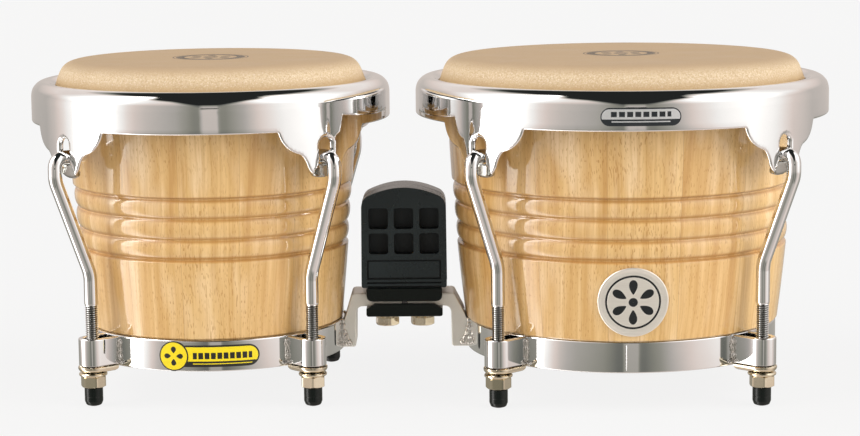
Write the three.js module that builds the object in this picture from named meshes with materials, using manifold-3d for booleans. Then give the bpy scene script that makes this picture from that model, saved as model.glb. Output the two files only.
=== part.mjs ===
// A pair of bongo drums: two tapered hardwood shells with hide heads, each tuned by four
// hook rods that pull a steel rim down, and joined side by side by a clamped centre block.
// Millimetres, +Z up, front towards -Y, the small drum (macho) at -X and the large one
// (hembra) at +X. The origin is the middle of the outline, at the foot of the rubber feet.

import * as THREE from 'three';
import { mergeVertices } from 'three/addons/utils/BufferGeometryUtils.js';
import Module from 'manifold-3d';

const wasm = await Module();
wasm.setup();

// ---- Driving dimensions ----

const AXIS_DISTANCE = 243; // between the axes of the two drums
const GAP = 0.3; // clearance between pieces that touch
const FACETS = 40; // facets round a drum

const MACHO = {
  name: 'macho',
  side: -1,
  rimRadius: 105.7,
  collarRadius: 90.7, // outside of the head where it meets the rim
  shellTopRadius: 87,
  shellFootRadius: 75.9,
  shellBulge: 0.9,
  ringRadius: 77.3,
  rodRadius: 90, // circle of the rods at the lugs
  hookRadius: 111.9, // circle of the rods at the claws
  rodBends: [77, 132.6], // heights of a rod's two bends
  bandBottom: 161,
  lugTurn: -2.2, // degrees from the diagonals
  armBend: 30.7, // from the block's middle to the arm's upper corner
};

const HEMBRA = {
  name: 'hembra',
  side: 1,
  rimRadius: 121.8,
  collarRadius: 106.8,
  shellTopRadius: 103.6,
  shellFootRadius: 92.9,
  shellBulge: 1.9,
  ringRadius: 92,
  rodRadius: 106.4,
  hookRadius: 127.4,
  rodBends: [82, 133.5],
  bandBottom: 162.5,
  lugTurn: 0,
  armBend: 28.9,
};

// Head and shell
const HEAD_TOP = 196.6;
const SKIN = 1.8; // thickness of the hide
const COLLAR_BOTTOM = 172;
const SHELL_TOP = HEAD_TOP - SKIN - GAP;
const SHELL_SHOULDER = 187.5; // where the rounded bearing edge starts
const SHELL_BOTTOM = 24.5;
const SHELL_WALL = 10;
const GROOVES = [87.3, 98.6, 110.7, 122];
const GROOVE_DEPTH = 1.6;
const GROOVE_HALF_WIDTH = 2.4;
const BEAD_RECESS = 0.4; // how far the beads lie below the shell's curve

// Rim, its claws and the flesh hoop
const SHEET = 2.5; // steel of the rim
const RIM_SHOULDER = 176; // top of the rim's upright band
const RIM_CREST = 184.6;
const CLAW_TIP = 133.5;
const SLOT_HALF_WIDTH = 4.5;
const SLOT_TOP = 156.5;
const HOOP_HEIGHT = 176.6;
const HOOP_RADIUS = 3.6; // section of the flesh hoop

// Rods, nuts and feet
const ROD = 4; // radius, M8
const HOOK_HEIGHT = 145.7; // middle of the hook's end
const HOOK_REACH = 19;
const ROD_BOTTOM = 2.4;
const THREAD_CLEAR = 4.45; // bore of a nut
const FOOT_RADIUS = 5.5;
const FOOT_TOP = 10.8;
const NUT_BOTTOM = FOOT_TOP + GAP;
const NUT_FLANGE = 17.6;
const NUT_TOP = 19.7;
const FLANGE_RADIUS = 8.2;
const HEX_AF = 13; // across flats, nuts and bolts
const HEX_RADIUS = HEX_AF / Math.sqrt(3);

// Bottom ring and saddles
const RING_BOTTOM = 22.5;
const RING_TOP = 40.4;
const RING_WALL = 2.8;
const LUG_BOTTOM = 23.8;
const LUG_TOP = 40;
const LUG_RADIUS = 8; // outside of a lug's round end
const LUG_WALL = 3;
const SADDLE_BOTTOM = NUT_TOP + GAP;
const SADDLE_TOP = LUG_BOTTOM - GAP;
const SADDLE_RADIUS = 8.6;

// Centre block, pad, clamp plate and arms
const BLOCK_WIDTH = 50.6;
const BLOCK_DEPTH = 34;
const BLOCK_BOTTOM = 59.8;
const BLOCK_SIDE_TOP = 112; // the top is an arc that rises from here
const BLOCK_TOP = 119.7;
const POCKET = { columns: 3, rows: 2, width: 11.5, height: 12.5, pitch: 15, depth: 7.5 };
const POCKET_BASE = 80;
const PANEL = { bottom: 63.5, top: 76.5, halfWidth: 22, depth: 1 };
const PAD = { halfWidth: 22.5, bottom: 51.5, top: BLOCK_BOTTOM - GAP };
const CLAMP = { halfWidth: 22.7, bottom: 42.4, top: 50.1 };
const TONGUE = { bottom: 48.1, top: 55.8, halfDepth: 13, end: 1.6 };
const ARM_FOOT = 23.6;
const ARM_WALL = 7.7;
const BOLT_SPACING = 10.55; // each bolt from the block's middle
const BOLT_HOLE = 4.7;
const BOLT_HEAD = [34.8, 39.4];
const LOCK_WASHER = [39.7, 42.1];
const BOLT_TOP = 80;
const INSERT = { bottom: 62, top: 76, radius: 6.2 };

// Badge and stickers
const BADGE = { height: 64, radius: 19.9, thickness: 1.2 };
const STICKER = 0.5; // thickness

const machoX = -(AXIS_DISTANCE + MACHO.rimRadius + HEMBRA.rimRadius) / 2 + MACHO.rimRadius;
const hembraX = machoX + AXIS_DISTANCE;
const blockX = (machoX + MACHO.rimRadius + hembraX - HEMBRA.rimRadius) / 2;
MACHO.x = machoX;
HEMBRA.x = hembraX;

// ---- Materials ----

function finish(color, roughness, metalness) {
  return () => new THREE.MeshStandardMaterial({ color, roughness, metalness });
}

const WOOD = finish(0xdcae6c, 0.25, 0);
const HIDE = finish(0xdcc6a0, 0.7, 0);
const CHROME = finish(0xc8cacb, 0.1, 1);
const NICKEL = finish(0xb8ad9e, 0.25, 1);
const ZINC = finish(0xc2bbae, 0.5, 0.7);
const RUBBER = finish(0x16181a, 0.8, 0);
const BLACK = finish(0x1a1e20, 0.4, 0);
const BRASS = finish(0xb99a55, 0.35, 1);
const BADGE_STEEL = finish(0xbdb4a6, 0.3, 1);
const YELLOW = finish(0xe3c52e, 0.5, 0);

// ---- Solids ----

// Turns a geometry into a manifold-3d solid, without the slivers at a lathe's axis.
function solid(geometry) {
  const bare = geometry.clone();
  bare.deleteAttribute('normal');
  bare.deleteAttribute('uv');
  const merged = mergeVertices(bare, 1e-4);
  const index = merged.getIndex().array;
  const triangles = [];
  for (let i = 0; i < index.length; i += 3) {
    const [a, b, c] = index.slice(i, i + 3);
    if (a !== b && b !== c && c !== a) {
      triangles.push(a, b, c);
    }
  }
  const mesh = new wasm.Mesh({
    numProp: 3,
    vertProperties: new Float32Array(merged.getAttribute('position').array),
    triVerts: new Uint32Array(triangles),
  });
  return new wasm.Manifold(mesh);
}

function geometryOf(body) {
  const mesh = body.getMesh();
  const geometry = new THREE.BufferGeometry();
  geometry.setAttribute('position', new THREE.BufferAttribute(mesh.vertProperties, 3));
  geometry.setIndex(new THREE.BufferAttribute(mesh.triVerts, 1));
  return geometry;
}

// Revolves [radius, height] points about the Z axis. The profile closes on itself, or
// starts and ends on the axis.
function turned(points, facets = FACETS) {
  let area = 0;
  points.forEach(([r, z], i) => {
    const [nextR, nextZ] = points[(i + 1) % points.length];
    area += r * nextZ - nextR * z;
  });
  const profile = area > 0 ? [...points] : [...points].reverse();
  const onAxis = profile[0][0] === 0 && profile[profile.length - 1][0] === 0;
  if (!onAxis) {
    profile.push(profile[0]);
  }
  const geometry = new THREE.LatheGeometry(
    profile.map(([r, z]) => new THREE.Vector2(r, z)),
    facets,
  );
  return geometry.rotateX(Math.PI / 2);
}

function cylinder(radius, bottom, top, facets) {
  return turned([[0, bottom], [radius, bottom], [radius, top], [0, top]], facets);
}

// Extrudes a shape drawn in plan from one height to another.
function upright(shape, bottom, top, curveSegments = 4) {
  const options = { depth: top - bottom, bevelEnabled: false, curveSegments };
  return new THREE.ExtrudeGeometry(shape, options).translate(0, 0, bottom);
}

// Extrudes a shape drawn as a front view (x, height) along Y between two depths.
function alongY(shape, front, back, curveSegments = 4) {
  const options = { depth: back - front, bevelEnabled: false, curveSegments };
  const geometry = new THREE.ExtrudeGeometry(shape, options);
  return geometry.rotateX(Math.PI / 2).translate(0, back, 0);
}

// Extrudes a shape drawn as seen from outside (x, height) along the direction `degrees`
// from the front, from the drum's axis outwards.
function radial(shape, degrees, reach, curveSegments = 3) {
  const options = { depth: reach, bevelEnabled: false, curveSegments };
  const angle = THREE.MathUtils.degToRad(degrees);
  return new THREE.ExtrudeGeometry(shape, options).rotateX(Math.PI / 2).rotateZ(angle);
}

function outline(points) {
  return new THREE.Shape(points.map(([x, y]) => new THREE.Vector2(x, y)));
}

function rectangle(x0, y0, x1, y1) {
  return outline([[x0, y0], [x1, y0], [x1, y1], [x0, y1]]);
}

function box(x0, y0, z0, x1, y1, z1) {
  return upright(rectangle(x0, y0, x1, y1), z0, z1);
}

function lugAngles(drum) {
  return [45, 135, 225, 315].map((degrees) => degrees + drum.lugTurn);
}

// ---- Shell and head ----

function shellRadius(drum, height) {
  const t = (height - RING_TOP) / (SHELL_SHOULDER - RING_TOP);
  const taper = THREE.MathUtils.lerp(drum.shellFootRadius, drum.shellTopRadius, t);
  return taper + 4 * drum.shellBulge * t * (1 - t);
}

// The turned beads: a shoulder, then groove, crest, groove and so on, and a shoulder.
function beadProfile(drum) {
  const at = (height, recess) => [shellRadius(drum, height) - recess, height];
  const points = [at(GROOVES[0] - GROOVE_HALF_WIDTH, 0)];
  GROOVES.forEach((height, i) => {
    points.push(at(height, GROOVE_DEPTH));
    if (i + 1 < GROOVES.length) {
      points.push(at((height + GROOVES[i + 1]) / 2, BEAD_RECESS));
    }
  });
  points.push(at(GROOVES[GROOVES.length - 1] + GROOVE_HALF_WIDTH, 0));
  return points;
}

function shell(drum) {
  const rebate = drum.ringRadius - RING_WALL - GAP;
  const top = drum.shellTopRadius;
  return turned([
    [rebate, SHELL_BOTTOM],
    [rebate, RING_TOP + GAP],
    [shellRadius(drum, RING_TOP + GAP), RING_TOP + GAP],
    [shellRadius(drum, BADGE.height), BADGE.height],
    ...beadProfile(drum),
    [shellRadius(drum, 150), 150],
    [top, SHELL_SHOULDER],
    [top - 1.4, SHELL_TOP - 2.9],
    [top - 5, SHELL_TOP],
    [top - SHELL_WALL, SHELL_TOP - 5],
    [rebate - SHELL_WALL + 1, SHELL_BOTTOM],
  ]);
}

// Hide stretched over the bearing edge, with its collar running down inside the rim.
function head(drum) {
  const edge = drum.collarRadius;
  return turned([
    [0, HEAD_TOP],
    [edge - 8, HEAD_TOP],
    [edge - 4.2, HEAD_TOP - 1.2],
    [edge - 2, HEAD_TOP - 4],
    [edge - 0.9, HEAD_TOP - 8.8],
    [edge, HEAD_TOP - 13.6],
    [edge + 0.2, COLLAR_BOTTOM],
    [edge + 0.2 - SKIN, COLLAR_BOTTOM],
    [edge - SKIN, HEAD_TOP - 13.6],
    [edge - 0.9 - SKIN, HEAD_TOP - 9.2],
    [edge - 2.1 - SKIN, HEAD_TOP - 5],
    [edge - 8, HEAD_TOP - SKIN],
    [0, HEAD_TOP - SKIN],
  ]);
}

// ---- Rim, flesh hoop and rods ----

// One claw as seen from outside, reaching up into the rim's band.
function clawShape(drum) {
  const shoulder = drum.bandBottom;
  const shape = new THREE.Shape();
  shape.moveTo(-34, shoulder + 1);
  shape.lineTo(-31, shoulder - 1);
  shape.quadraticCurveTo(-28, shoulder - 10.5, -18, shoulder - 13);
  shape.quadraticCurveTo(-14.5, shoulder - 15, -12.5, CLAW_TIP + 7);
  shape.quadraticCurveTo(-9.5, CLAW_TIP, 0, CLAW_TIP);
  shape.quadraticCurveTo(9.5, CLAW_TIP, 12.5, CLAW_TIP + 7);
  shape.quadraticCurveTo(14.5, shoulder - 15, 18, shoulder - 13);
  shape.quadraticCurveTo(28, shoulder - 10.5, 31, shoulder - 1);
  shape.lineTo(34, shoulder + 1);
  return shape;
}

function slotShape() {
  const shape = new THREE.Shape();
  const bottom = HOOK_HEIGHT - ROD - GAP;
  shape.moveTo(-SLOT_HALF_WIDTH, bottom);
  shape.lineTo(SLOT_HALF_WIDTH, bottom);
  shape.lineTo(SLOT_HALF_WIDTH, SLOT_TOP - SLOT_HALF_WIDTH);
  shape.absarc(0, SLOT_TOP - SLOT_HALF_WIDTH, SLOT_HALF_WIDTH, 0, Math.PI, false);
  return shape;
}

// Pressed steel: an upright band with four claws below it, rolled over at the top to a
// round lip that bears on the flesh hoop.
function rim(drum) {
  const r = drum.rimRadius;
  const blank = solid(turned([
    [r, CLAW_TIP - 1],
    [r, RIM_SHOULDER],
    [r - 1.1, RIM_SHOULDER + 4.3],
    [r - 3.4, RIM_CREST - 1.5],
    [r - 7.7, RIM_CREST],
    [r - 11.4, RIM_CREST - 1.2],
    [r - 13.7, RIM_CREST - 4.2],
    [r - 12, RIM_CREST - 5.2],
    [r - 7.7, RIM_CREST - SHEET],
    [r - 3.5, RIM_SHOULDER + 3.4],
    [r - SHEET, RIM_SHOULDER - 0.5],
    [r - SHEET, CLAW_TIP - 1],
  ]));
  const reach = r + 10;
  let kept = solid(box(-reach, -reach, drum.bandBottom, reach, reach, HEAD_TOP));
  for (const degrees of lugAngles(drum)) {
    kept = kept.add(solid(radial(clawShape(drum), degrees, reach)));
  }
  let body = blank.intersect(kept);
  for (const degrees of lugAngles(drum)) {
    body = body.subtract(solid(radial(slotShape(), degrees, reach, 5)));
  }
  return geometryOf(body);
}

function fleshHoop(drum) {
  const middle = drum.rimRadius - 8.3;
  const sides = 6;
  const points = [];
  for (let i = 0; i < sides; i += 1) {
    const angle = i * 2 * Math.PI / sides;
    points.push([
      middle + HOOP_RADIUS * Math.cos(angle),
      HOOP_HEIGHT + HOOP_RADIUS * Math.sin(angle),
    ]);
  }
  return turned(points);
}

// A curve through given stations, so that a sweep's steps fall where the bends are.
class StationCurve extends THREE.Curve {
  constructor(stations) {
    super();
    this.stations = stations;
  }

  getPointAt(u, target = new THREE.Vector3()) {
    const last = this.stations.length - 1;
    return target.copy(this.stations[Math.round(u * last)]);
  }

  getTangentAt(u, target = new THREE.Vector3()) {
    const last = this.stations.length - 1;
    const i = Math.round(u * last);
    const before = this.stations[Math.max(i - 1, 0)];
    const after = this.stations[Math.min(i + 1, last)];
    return target.subVectors(after, before).normalize();
  }
}

// Stations round one corner of a bent rod, `reach` before and after the corner.
function bendStations(before, corner, after, reach, count) {
  const start = corner.clone().add(before.clone().sub(corner).setLength(reach));
  const end = corner.clone().add(after.clone().sub(corner).setLength(reach));
  return new THREE.QuadraticBezierCurve3(start, corner, end).getPoints(count - 1);
}

// The rod lies in the plane of the drum's axis, outwards along -Y: up from the foot,
// out under the rim, up beside the claw and back in through the claw's slot.
function rod(drum) {
  const [lower, upper] = drum.rodBends;
  const at = (radius, height) => new THREE.Vector3(0, -radius, height);
  const corners = [
    at(drum.rodRadius, ROD_BOTTOM),
    at(drum.rodRadius, lower),
    at(drum.hookRadius, upper),
    at(drum.hookRadius, HOOK_HEIGHT),
    at(drum.hookRadius - HOOK_REACH, HOOK_HEIGHT),
  ];
  const [foot, low, high, hook, end] = corners;
  const stations = [
    foot,
    ...bendStations(foot, low, high, 7, 3),
    ...bendStations(low, high, hook, 5.5, 3),
    ...bendStations(high, hook, end, 6.5, 5),
    end,
  ];
  const section = new THREE.Shape();
  section.absarc(0, 0, ROD, 0, 2 * Math.PI, false);
  return new THREE.ExtrudeGeometry(section, {
    steps: stations.length - 1,
    curveSegments: 4,
    extrudePath: new StationCurve(stations),
  });
}

// ---- Bottom ring, saddle, nut and foot ----

// The outline of a lug or saddle: a round end about the rod, with straight sides that
// run in to `inner`, measured from the drum's axis.
function strapShape(drum, radius, inner) {
  const shape = new THREE.Shape();
  shape.moveTo(-radius, -inner);
  shape.lineTo(-radius, -drum.rodRadius);
  shape.absarc(0, -drum.rodRadius, radius, Math.PI, 2 * Math.PI, false);
  shape.lineTo(radius, -inner);
  return shape;
}

function bottomRing(drum) {
  const outer = drum.ringRadius;
  const inner = outer - RING_WALL;
  let body = solid(turned([
    [inner, RING_BOTTOM],
    [outer, RING_BOTTOM],
    [outer, RING_TOP],
    [inner, RING_TOP],
  ]));
  const strap = strapShape(drum, LUG_RADIUS, outer - 1.2);
  strap.holes.push(strapShape(drum, LUG_RADIUS - LUG_WALL, outer + 0.5));
  for (const degrees of lugAngles(drum)) {
    const angle = THREE.MathUtils.degToRad(degrees);
    body = body.add(solid(upright(strap, LUG_BOTTOM, LUG_TOP, 5).rotateZ(angle)));
  }
  return geometryOf(body);
}

function saddle(drum) {
  const shape = strapShape(drum, SADDLE_RADIUS, drum.ringRadius + 0.5);
  const hole = new THREE.Path();
  hole.absarc(0, -drum.rodRadius, BOLT_HOLE, 0, 2 * Math.PI, true);
  shape.holes.push(hole);
  return upright(shape, SADDLE_BOTTOM, SADDLE_TOP, 5);
}

function hexagon(bottom, top, chamfer) {
  const flat = HEX_RADIUS * 0.88;
  return turned([
    [0, bottom],
    [flat, bottom],
    [HEX_RADIUS, bottom + chamfer],
    [HEX_RADIUS, top],
    [0, top],
  ], 6);
}

function nut() {
  const hex = solid(hexagon(NUT_BOTTOM, NUT_FLANGE + 0.2, 1));
  const flange = solid(cylinder(FLANGE_RADIUS, NUT_FLANGE, NUT_TOP, 14));
  const bore = solid(cylinder(THREAD_CLEAR, NUT_BOTTOM - 1, NUT_TOP + 1, 12));
  return geometryOf(hex.add(flange).subtract(bore));
}

// A rubber cap pushed over the rod's end.
function foot() {
  const bore = ROD + GAP;
  return turned([
    [0, 0],
    [2.6, 0],
    [4.6, 0.9],
    [FOOT_RADIUS, 3],
    [FOOT_RADIUS, FOOT_TOP],
    [bore, FOOT_TOP],
    [bore, ROD_BOTTOM - GAP],
    [0, ROD_BOTTOM - GAP],
  ], 12);
}

// ---- Arms and centre block ----

// A bent strap welded to the bottom ring, with its tongue clamped under the block.
// Drawn with x outwards from the block's middle.
function arm(drum) {
  const ring = Math.abs(drum.x - blockX) - drum.ringRadius;
  const inner = ring - ARM_WALL;
  const shape = new THREE.Shape();
  shape.moveTo(ring + 1.5, ARM_FOOT);
  shape.lineTo(ring + 1.5, 38);
  shape.lineTo(ring - 0.6, 41.5);
  shape.lineTo(drum.armBend + 0.8, TONGUE.top - 1);
  shape.quadraticCurveTo(drum.armBend, TONGUE.top, drum.armBend - 1.5, TONGUE.top);
  shape.lineTo(TONGUE.end, TONGUE.top);
  shape.lineTo(TONGUE.end, TONGUE.bottom);
  shape.lineTo(inner - 5, TONGUE.bottom);
  shape.quadraticCurveTo(inner - 1, TONGUE.bottom - 0.8, inner, 40);
  shape.lineTo(inner, ARM_FOOT + 1.5);
  shape.lineTo(inner + 1.5, ARM_FOOT);
  const blank = solid(alongY(shape, -TONGUE.halfDepth, TONGUE.halfDepth));
  const hole = cylinder(BOLT_HOLE, TONGUE.bottom - 1, TONGUE.top + 1, 12);
  const ringClear = cylinder(drum.ringRadius + GAP, 0, 41, FACETS);
  const shellClear = cylinder(shellRadius(drum, BLOCK_BOTTOM) + GAP, RING_TOP, HEAD_TOP, FACETS);
  const far = ring + drum.ringRadius;
  const body = blank
    .subtract(solid(hole.translate(BOLT_SPACING, 0, 0)))
    .subtract(solid(ringClear.translate(far, 0, 0)))
    .subtract(solid(shellClear.translate(far, 0, 0)));
  return geometryOf(body);
}

function boltHoles(bottom, top, radius) {
  const left = solid(cylinder(radius, bottom, top, 12).translate(-BOLT_SPACING, 0, 0));
  const right = solid(cylinder(radius, bottom, top, 12).translate(BOLT_SPACING, 0, 0));
  return left.add(right);
}

// A rectangle with cut corners, for the block's cored pockets.
function pocketShape(middle, bottom) {
  const half = POCKET.width / 2;
  const top = bottom + POCKET.height;
  const cut = 2;
  return outline([
    [middle - half + cut, bottom],
    [middle + half - cut, bottom],
    [middle + half, bottom + cut],
    [middle + half, top - cut],
    [middle + half - cut, top],
    [middle - half + cut, top],
    [middle - half, top - cut],
    [middle - half, bottom + cut],
  ]);
}

// Moulded block with an arched top, a plain panel and cored pockets on both faces.
function blockBody() {
  const half = BLOCK_WIDTH / 2;
  const face = BLOCK_DEPTH / 2;
  const shape = new THREE.Shape();
  shape.moveTo(-half, BLOCK_BOTTOM);
  shape.lineTo(half, BLOCK_BOTTOM);
  shape.lineTo(half, BLOCK_SIDE_TOP - 4);
  shape.quadraticCurveTo(half - 0.5, BLOCK_SIDE_TOP, half - 5, BLOCK_SIDE_TOP + 2.2);
  shape.quadraticCurveTo(0, 2 * BLOCK_TOP - BLOCK_SIDE_TOP - 2.2, 5 - half, BLOCK_SIDE_TOP + 2.2);
  shape.quadraticCurveTo(0.5 - half, BLOCK_SIDE_TOP, -half, BLOCK_SIDE_TOP - 4);
  let body = solid(alongY(shape, -face, face, 8));
  const panel = rectangle(-PANEL.halfWidth, PANEL.bottom, PANEL.halfWidth, PANEL.top);
  const recesses = [{ shape: panel, depth: PANEL.depth }];
  for (let row = 0; row < POCKET.rows; row += 1) {
    for (let column = 0; column < POCKET.columns; column += 1) {
      const middle = (column - (POCKET.columns - 1) / 2) * POCKET.pitch;
      const bottom = POCKET_BASE + row * POCKET.pitch;
      recesses.push({ shape: pocketShape(middle, bottom), depth: POCKET.depth });
    }
  }
  for (const recess of recesses) {
    const front = solid(alongY(recess.shape, -face - 1, -face + recess.depth));
    const back = solid(alongY(recess.shape, face - recess.depth, face + 1));
    body = body.subtract(front).subtract(back);
  }
  const insertBores = boltHoles(BLOCK_BOTTOM - 1, INSERT.top + GAP, INSERT.radius + GAP);
  const tipBores = boltHoles(BLOCK_BOTTOM, BOLT_TOP + 2, BOLT_HOLE);
  return geometryOf(body.subtract(insertBores).subtract(tipBores));
}

// Rubber pad over the arms' tongues, with a lip down the front and the back of them.
function blockPad() {
  const face = BLOCK_DEPTH / 2;
  const { halfWidth, bottom, top } = PAD;
  const shape = outline([
    [-halfWidth, bottom + 4],
    [-halfWidth + 1.5, bottom + 1],
    [-halfWidth + 5, bottom],
    [halfWidth - 5, bottom],
    [halfWidth - 1.5, bottom + 1],
    [halfWidth, bottom + 4],
    [halfWidth, top],
    [-halfWidth, top],
  ]);
  const inside = TONGUE.halfDepth + GAP;
  const channel = box(-30, -inside, 0, 30, inside, TONGUE.top + GAP);
  const body = solid(alongY(shape, -face, face))
    .subtract(solid(channel))
    .subtract(boltHoles(bottom, top + 1, BOLT_HOLE));
  return geometryOf(body);
}

// Steel clamp plate under the tongues, with lips beside them and a rib between them.
function clampPlate() {
  const face = BLOCK_DEPTH / 2;
  const { halfWidth, bottom, top } = CLAMP;
  const shape = outline([
    [-halfWidth + 1, bottom],
    [halfWidth - 1, bottom],
    [halfWidth, bottom + 1.5],
    [halfWidth, top - 3],
    [halfWidth - 5, top],
    [-halfWidth + 5, top],
    [-halfWidth, top - 3],
    [-halfWidth, bottom + 1.5],
  ]);
  const inside = TONGUE.halfDepth + GAP;
  const channel = box(-30, -inside, TONGUE.bottom - GAP, 30, inside, HEAD_TOP);
  const ribHalf = TONGUE.end - GAP;
  const rib = box(-ribHalf, -inside + 1, bottom + 1, ribHalf, inside - 1, TONGUE.top - GAP);
  const body = solid(alongY(shape, -face, face))
    .subtract(solid(channel))
    .add(solid(rib))
    .subtract(boltHoles(bottom - 1, top + 1, BOLT_HOLE));
  return geometryOf(body);
}

function bolt() {
  const [bottom, top] = BOLT_HEAD;
  const hex = solid(hexagon(bottom, top, 0.8));
  return geometryOf(hex.add(solid(cylinder(ROD, top - 1, BOLT_TOP, 10))));
}

function collar(inner, outer, bottom, top, facets) {
  return turned([[inner, bottom], [outer, bottom], [outer, top], [inner, top]], facets);
}

// ---- Badge and stickers ----

// A thin sheet that follows a turned surface, cut to a shape seen from outside.
function appliedSheet(surface, thickness, shape, degrees) {
  const profile = [
    ...surface,
    ...surface.map(([r, z]) => [r + thickness, z]).reverse(),
  ];
  const sheet = solid(turned(profile));
  return geometryOf(sheet.intersect(solid(radial(shape, degrees, 150, 6))));
}

function badge(drum) {
  const shape = new THREE.Shape();
  shape.absarc(0, BADGE.height, BADGE.radius, 0, 2 * Math.PI, false);
  const surface = [41, BADGE.height, GROOVES[0] - GROOVE_HALF_WIDTH]
    .map((height) => [shellRadius(drum, height) + GAP + 0.1, height]);
  return appliedSheet(surface, BADGE.thickness, shape, 0);
}

// A label with one large round end and a bar.
function ringSticker(drum) {
  const shape = new THREE.Shape();
  shape.moveTo(29, 25.3);
  shape.lineTo(29, 37.8);
  shape.lineTo(-14.5, 37.8);
  shape.absarc(-20.8, 31.5, 8.7, Math.PI / 4, 1.75 * Math.PI, false);
  shape.lineTo(-14.5, 25.3);
  const surface = [[drum.ringRadius + GAP, 22.6], [drum.ringRadius + GAP, RING_TOP]];
  return appliedSheet(surface, STICKER, shape, 2.2);
}

function rimSticker(drum) {
  const shape = new THREE.Shape();
  shape.absarc(17.2, 170.8, 5, -Math.PI / 2, Math.PI / 2, false);
  shape.absarc(-17.2, 170.8, 5, Math.PI / 2, 1.5 * Math.PI, false);
  const surface = [[drum.rimRadius + GAP, 164], [drum.rimRadius + GAP, RIM_SHOULDER]];
  return appliedSheet(surface, STICKER, shape, 1);
}

// ---- Assembly ----

function piece(name, geometry, material) {
  const mesh = new THREE.Mesh(geometry, material());
  mesh.name = name;
  return mesh;
}

// The rod with its nut, saddle and foot, turned to one lug.
function lugGroup(drum, degrees, number) {
  const group = new THREE.Group();
  group.rotation.z = THREE.MathUtils.degToRad(degrees);
  const nutMesh = piece(`${drum.name}_nut_${number}`, nut(), NICKEL);
  const footMesh = piece(`${drum.name}_foot_${number}`, foot(), RUBBER);
  nutMesh.position.y = -drum.rodRadius;
  footMesh.position.y = -drum.rodRadius;
  group.add(
    piece(`${drum.name}_rod_${number}`, rod(drum), CHROME),
    piece(`${drum.name}_saddle_${number}`, saddle(drum), NICKEL),
    nutMesh,
    footMesh,
  );
  return group;
}

function drumGroup(drum) {
  const group = new THREE.Group();
  group.position.x = drum.x;
  group.add(
    piece(`${drum.name}_shell`, shell(drum), WOOD),
    piece(`${drum.name}_head`, head(drum), HIDE),
    piece(`${drum.name}_flesh_hoop`, fleshHoop(drum), CHROME),
    piece(`${drum.name}_rim`, rim(drum), CHROME),
    piece(`${drum.name}_bottom_ring`, bottomRing(drum), CHROME),
  );
  lugAngles(drum).forEach((degrees, i) => {
    group.add(lugGroup(drum, degrees, i + 1));
  });
  return group;
}

function centreGroup() {
  const group = new THREE.Group();
  group.position.x = blockX;
  group.add(
    piece('block_body', blockBody(), BLACK),
    piece('block_pad', blockPad(), RUBBER),
    piece('clamp_plate', clampPlate(), BLACK),
  );
  for (const drum of [MACHO, HEMBRA]) {
    const armMesh = piece(`${drum.name}_arm`, arm(drum), ZINC);
    armMesh.rotation.z = drum.side < 0 ? Math.PI : 0;
    const boltMesh = piece(`${drum.name}_bolt`, bolt(), NICKEL);
    const washer = collar(BOLT_HOLE, FLANGE_RADIUS, ...LOCK_WASHER, 12);
    const washerMesh = piece(`${drum.name}_lock_washer`, washer, NICKEL);
    const sleeve = collar(THREAD_CLEAR, INSERT.radius, INSERT.bottom, INSERT.top, 12);
    const insertMesh = piece(`${drum.name}_threaded_insert`, sleeve, BRASS);
    for (const mesh of [boltMesh, washerMesh, insertMesh]) {
      mesh.position.x = drum.side * BOLT_SPACING;
    }
    group.add(armMesh, boltMesh, washerMesh, insertMesh);
  }
  return group;
}

const bongos = new THREE.Group();
const macho = drumGroup(MACHO);
const hembra = drumGroup(HEMBRA);
macho.add(piece('ring_sticker', ringSticker(MACHO), YELLOW));
hembra.add(piece('badge', badge(HEMBRA), BADGE_STEEL));
hembra.add(piece('rim_sticker', rimSticker(HEMBRA), BLACK));
bongos.add(macho, hembra, centreGroup());

export default bongos;
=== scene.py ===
# A pair of bongo drums in a pale studio. Shapes are worked out in millimetres, in the
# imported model's frame, and each visual piece rides on a body of that model.
from math import atan2, ceil, cos, hypot, inf, pi, radians, sin, sqrt, tan

import bmesh
import bpy
from mathutils import Matrix, Vector, noise
from mathutils.geometry import delaunay_2d_cdt


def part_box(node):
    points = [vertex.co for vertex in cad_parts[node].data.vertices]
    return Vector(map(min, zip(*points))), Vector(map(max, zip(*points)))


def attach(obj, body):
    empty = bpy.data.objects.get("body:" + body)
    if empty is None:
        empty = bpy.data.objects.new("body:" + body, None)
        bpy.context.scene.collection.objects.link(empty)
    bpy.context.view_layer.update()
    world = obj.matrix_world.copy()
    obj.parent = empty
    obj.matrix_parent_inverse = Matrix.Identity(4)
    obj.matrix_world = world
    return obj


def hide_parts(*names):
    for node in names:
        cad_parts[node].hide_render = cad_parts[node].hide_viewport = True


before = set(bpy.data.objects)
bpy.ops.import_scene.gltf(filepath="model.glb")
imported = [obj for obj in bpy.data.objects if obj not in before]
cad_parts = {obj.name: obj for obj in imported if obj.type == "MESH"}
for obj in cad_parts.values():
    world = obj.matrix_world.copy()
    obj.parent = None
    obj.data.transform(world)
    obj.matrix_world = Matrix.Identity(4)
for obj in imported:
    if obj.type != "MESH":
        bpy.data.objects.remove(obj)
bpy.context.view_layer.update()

MM = 0.001
ROUND = 240  # facets round a drum
GAP = 0.3  # clearance between pieces that touch

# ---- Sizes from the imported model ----


def extent(node):
    """A CAD node's lowest and highest corners, in millimetres."""
    return [Vector(corner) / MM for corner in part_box(node)]


def half_width(node):
    low, high = extent(node)
    return (high.x - low.x) / 2


def heights(node):
    return [corner.z for corner in extent(node)]


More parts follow.
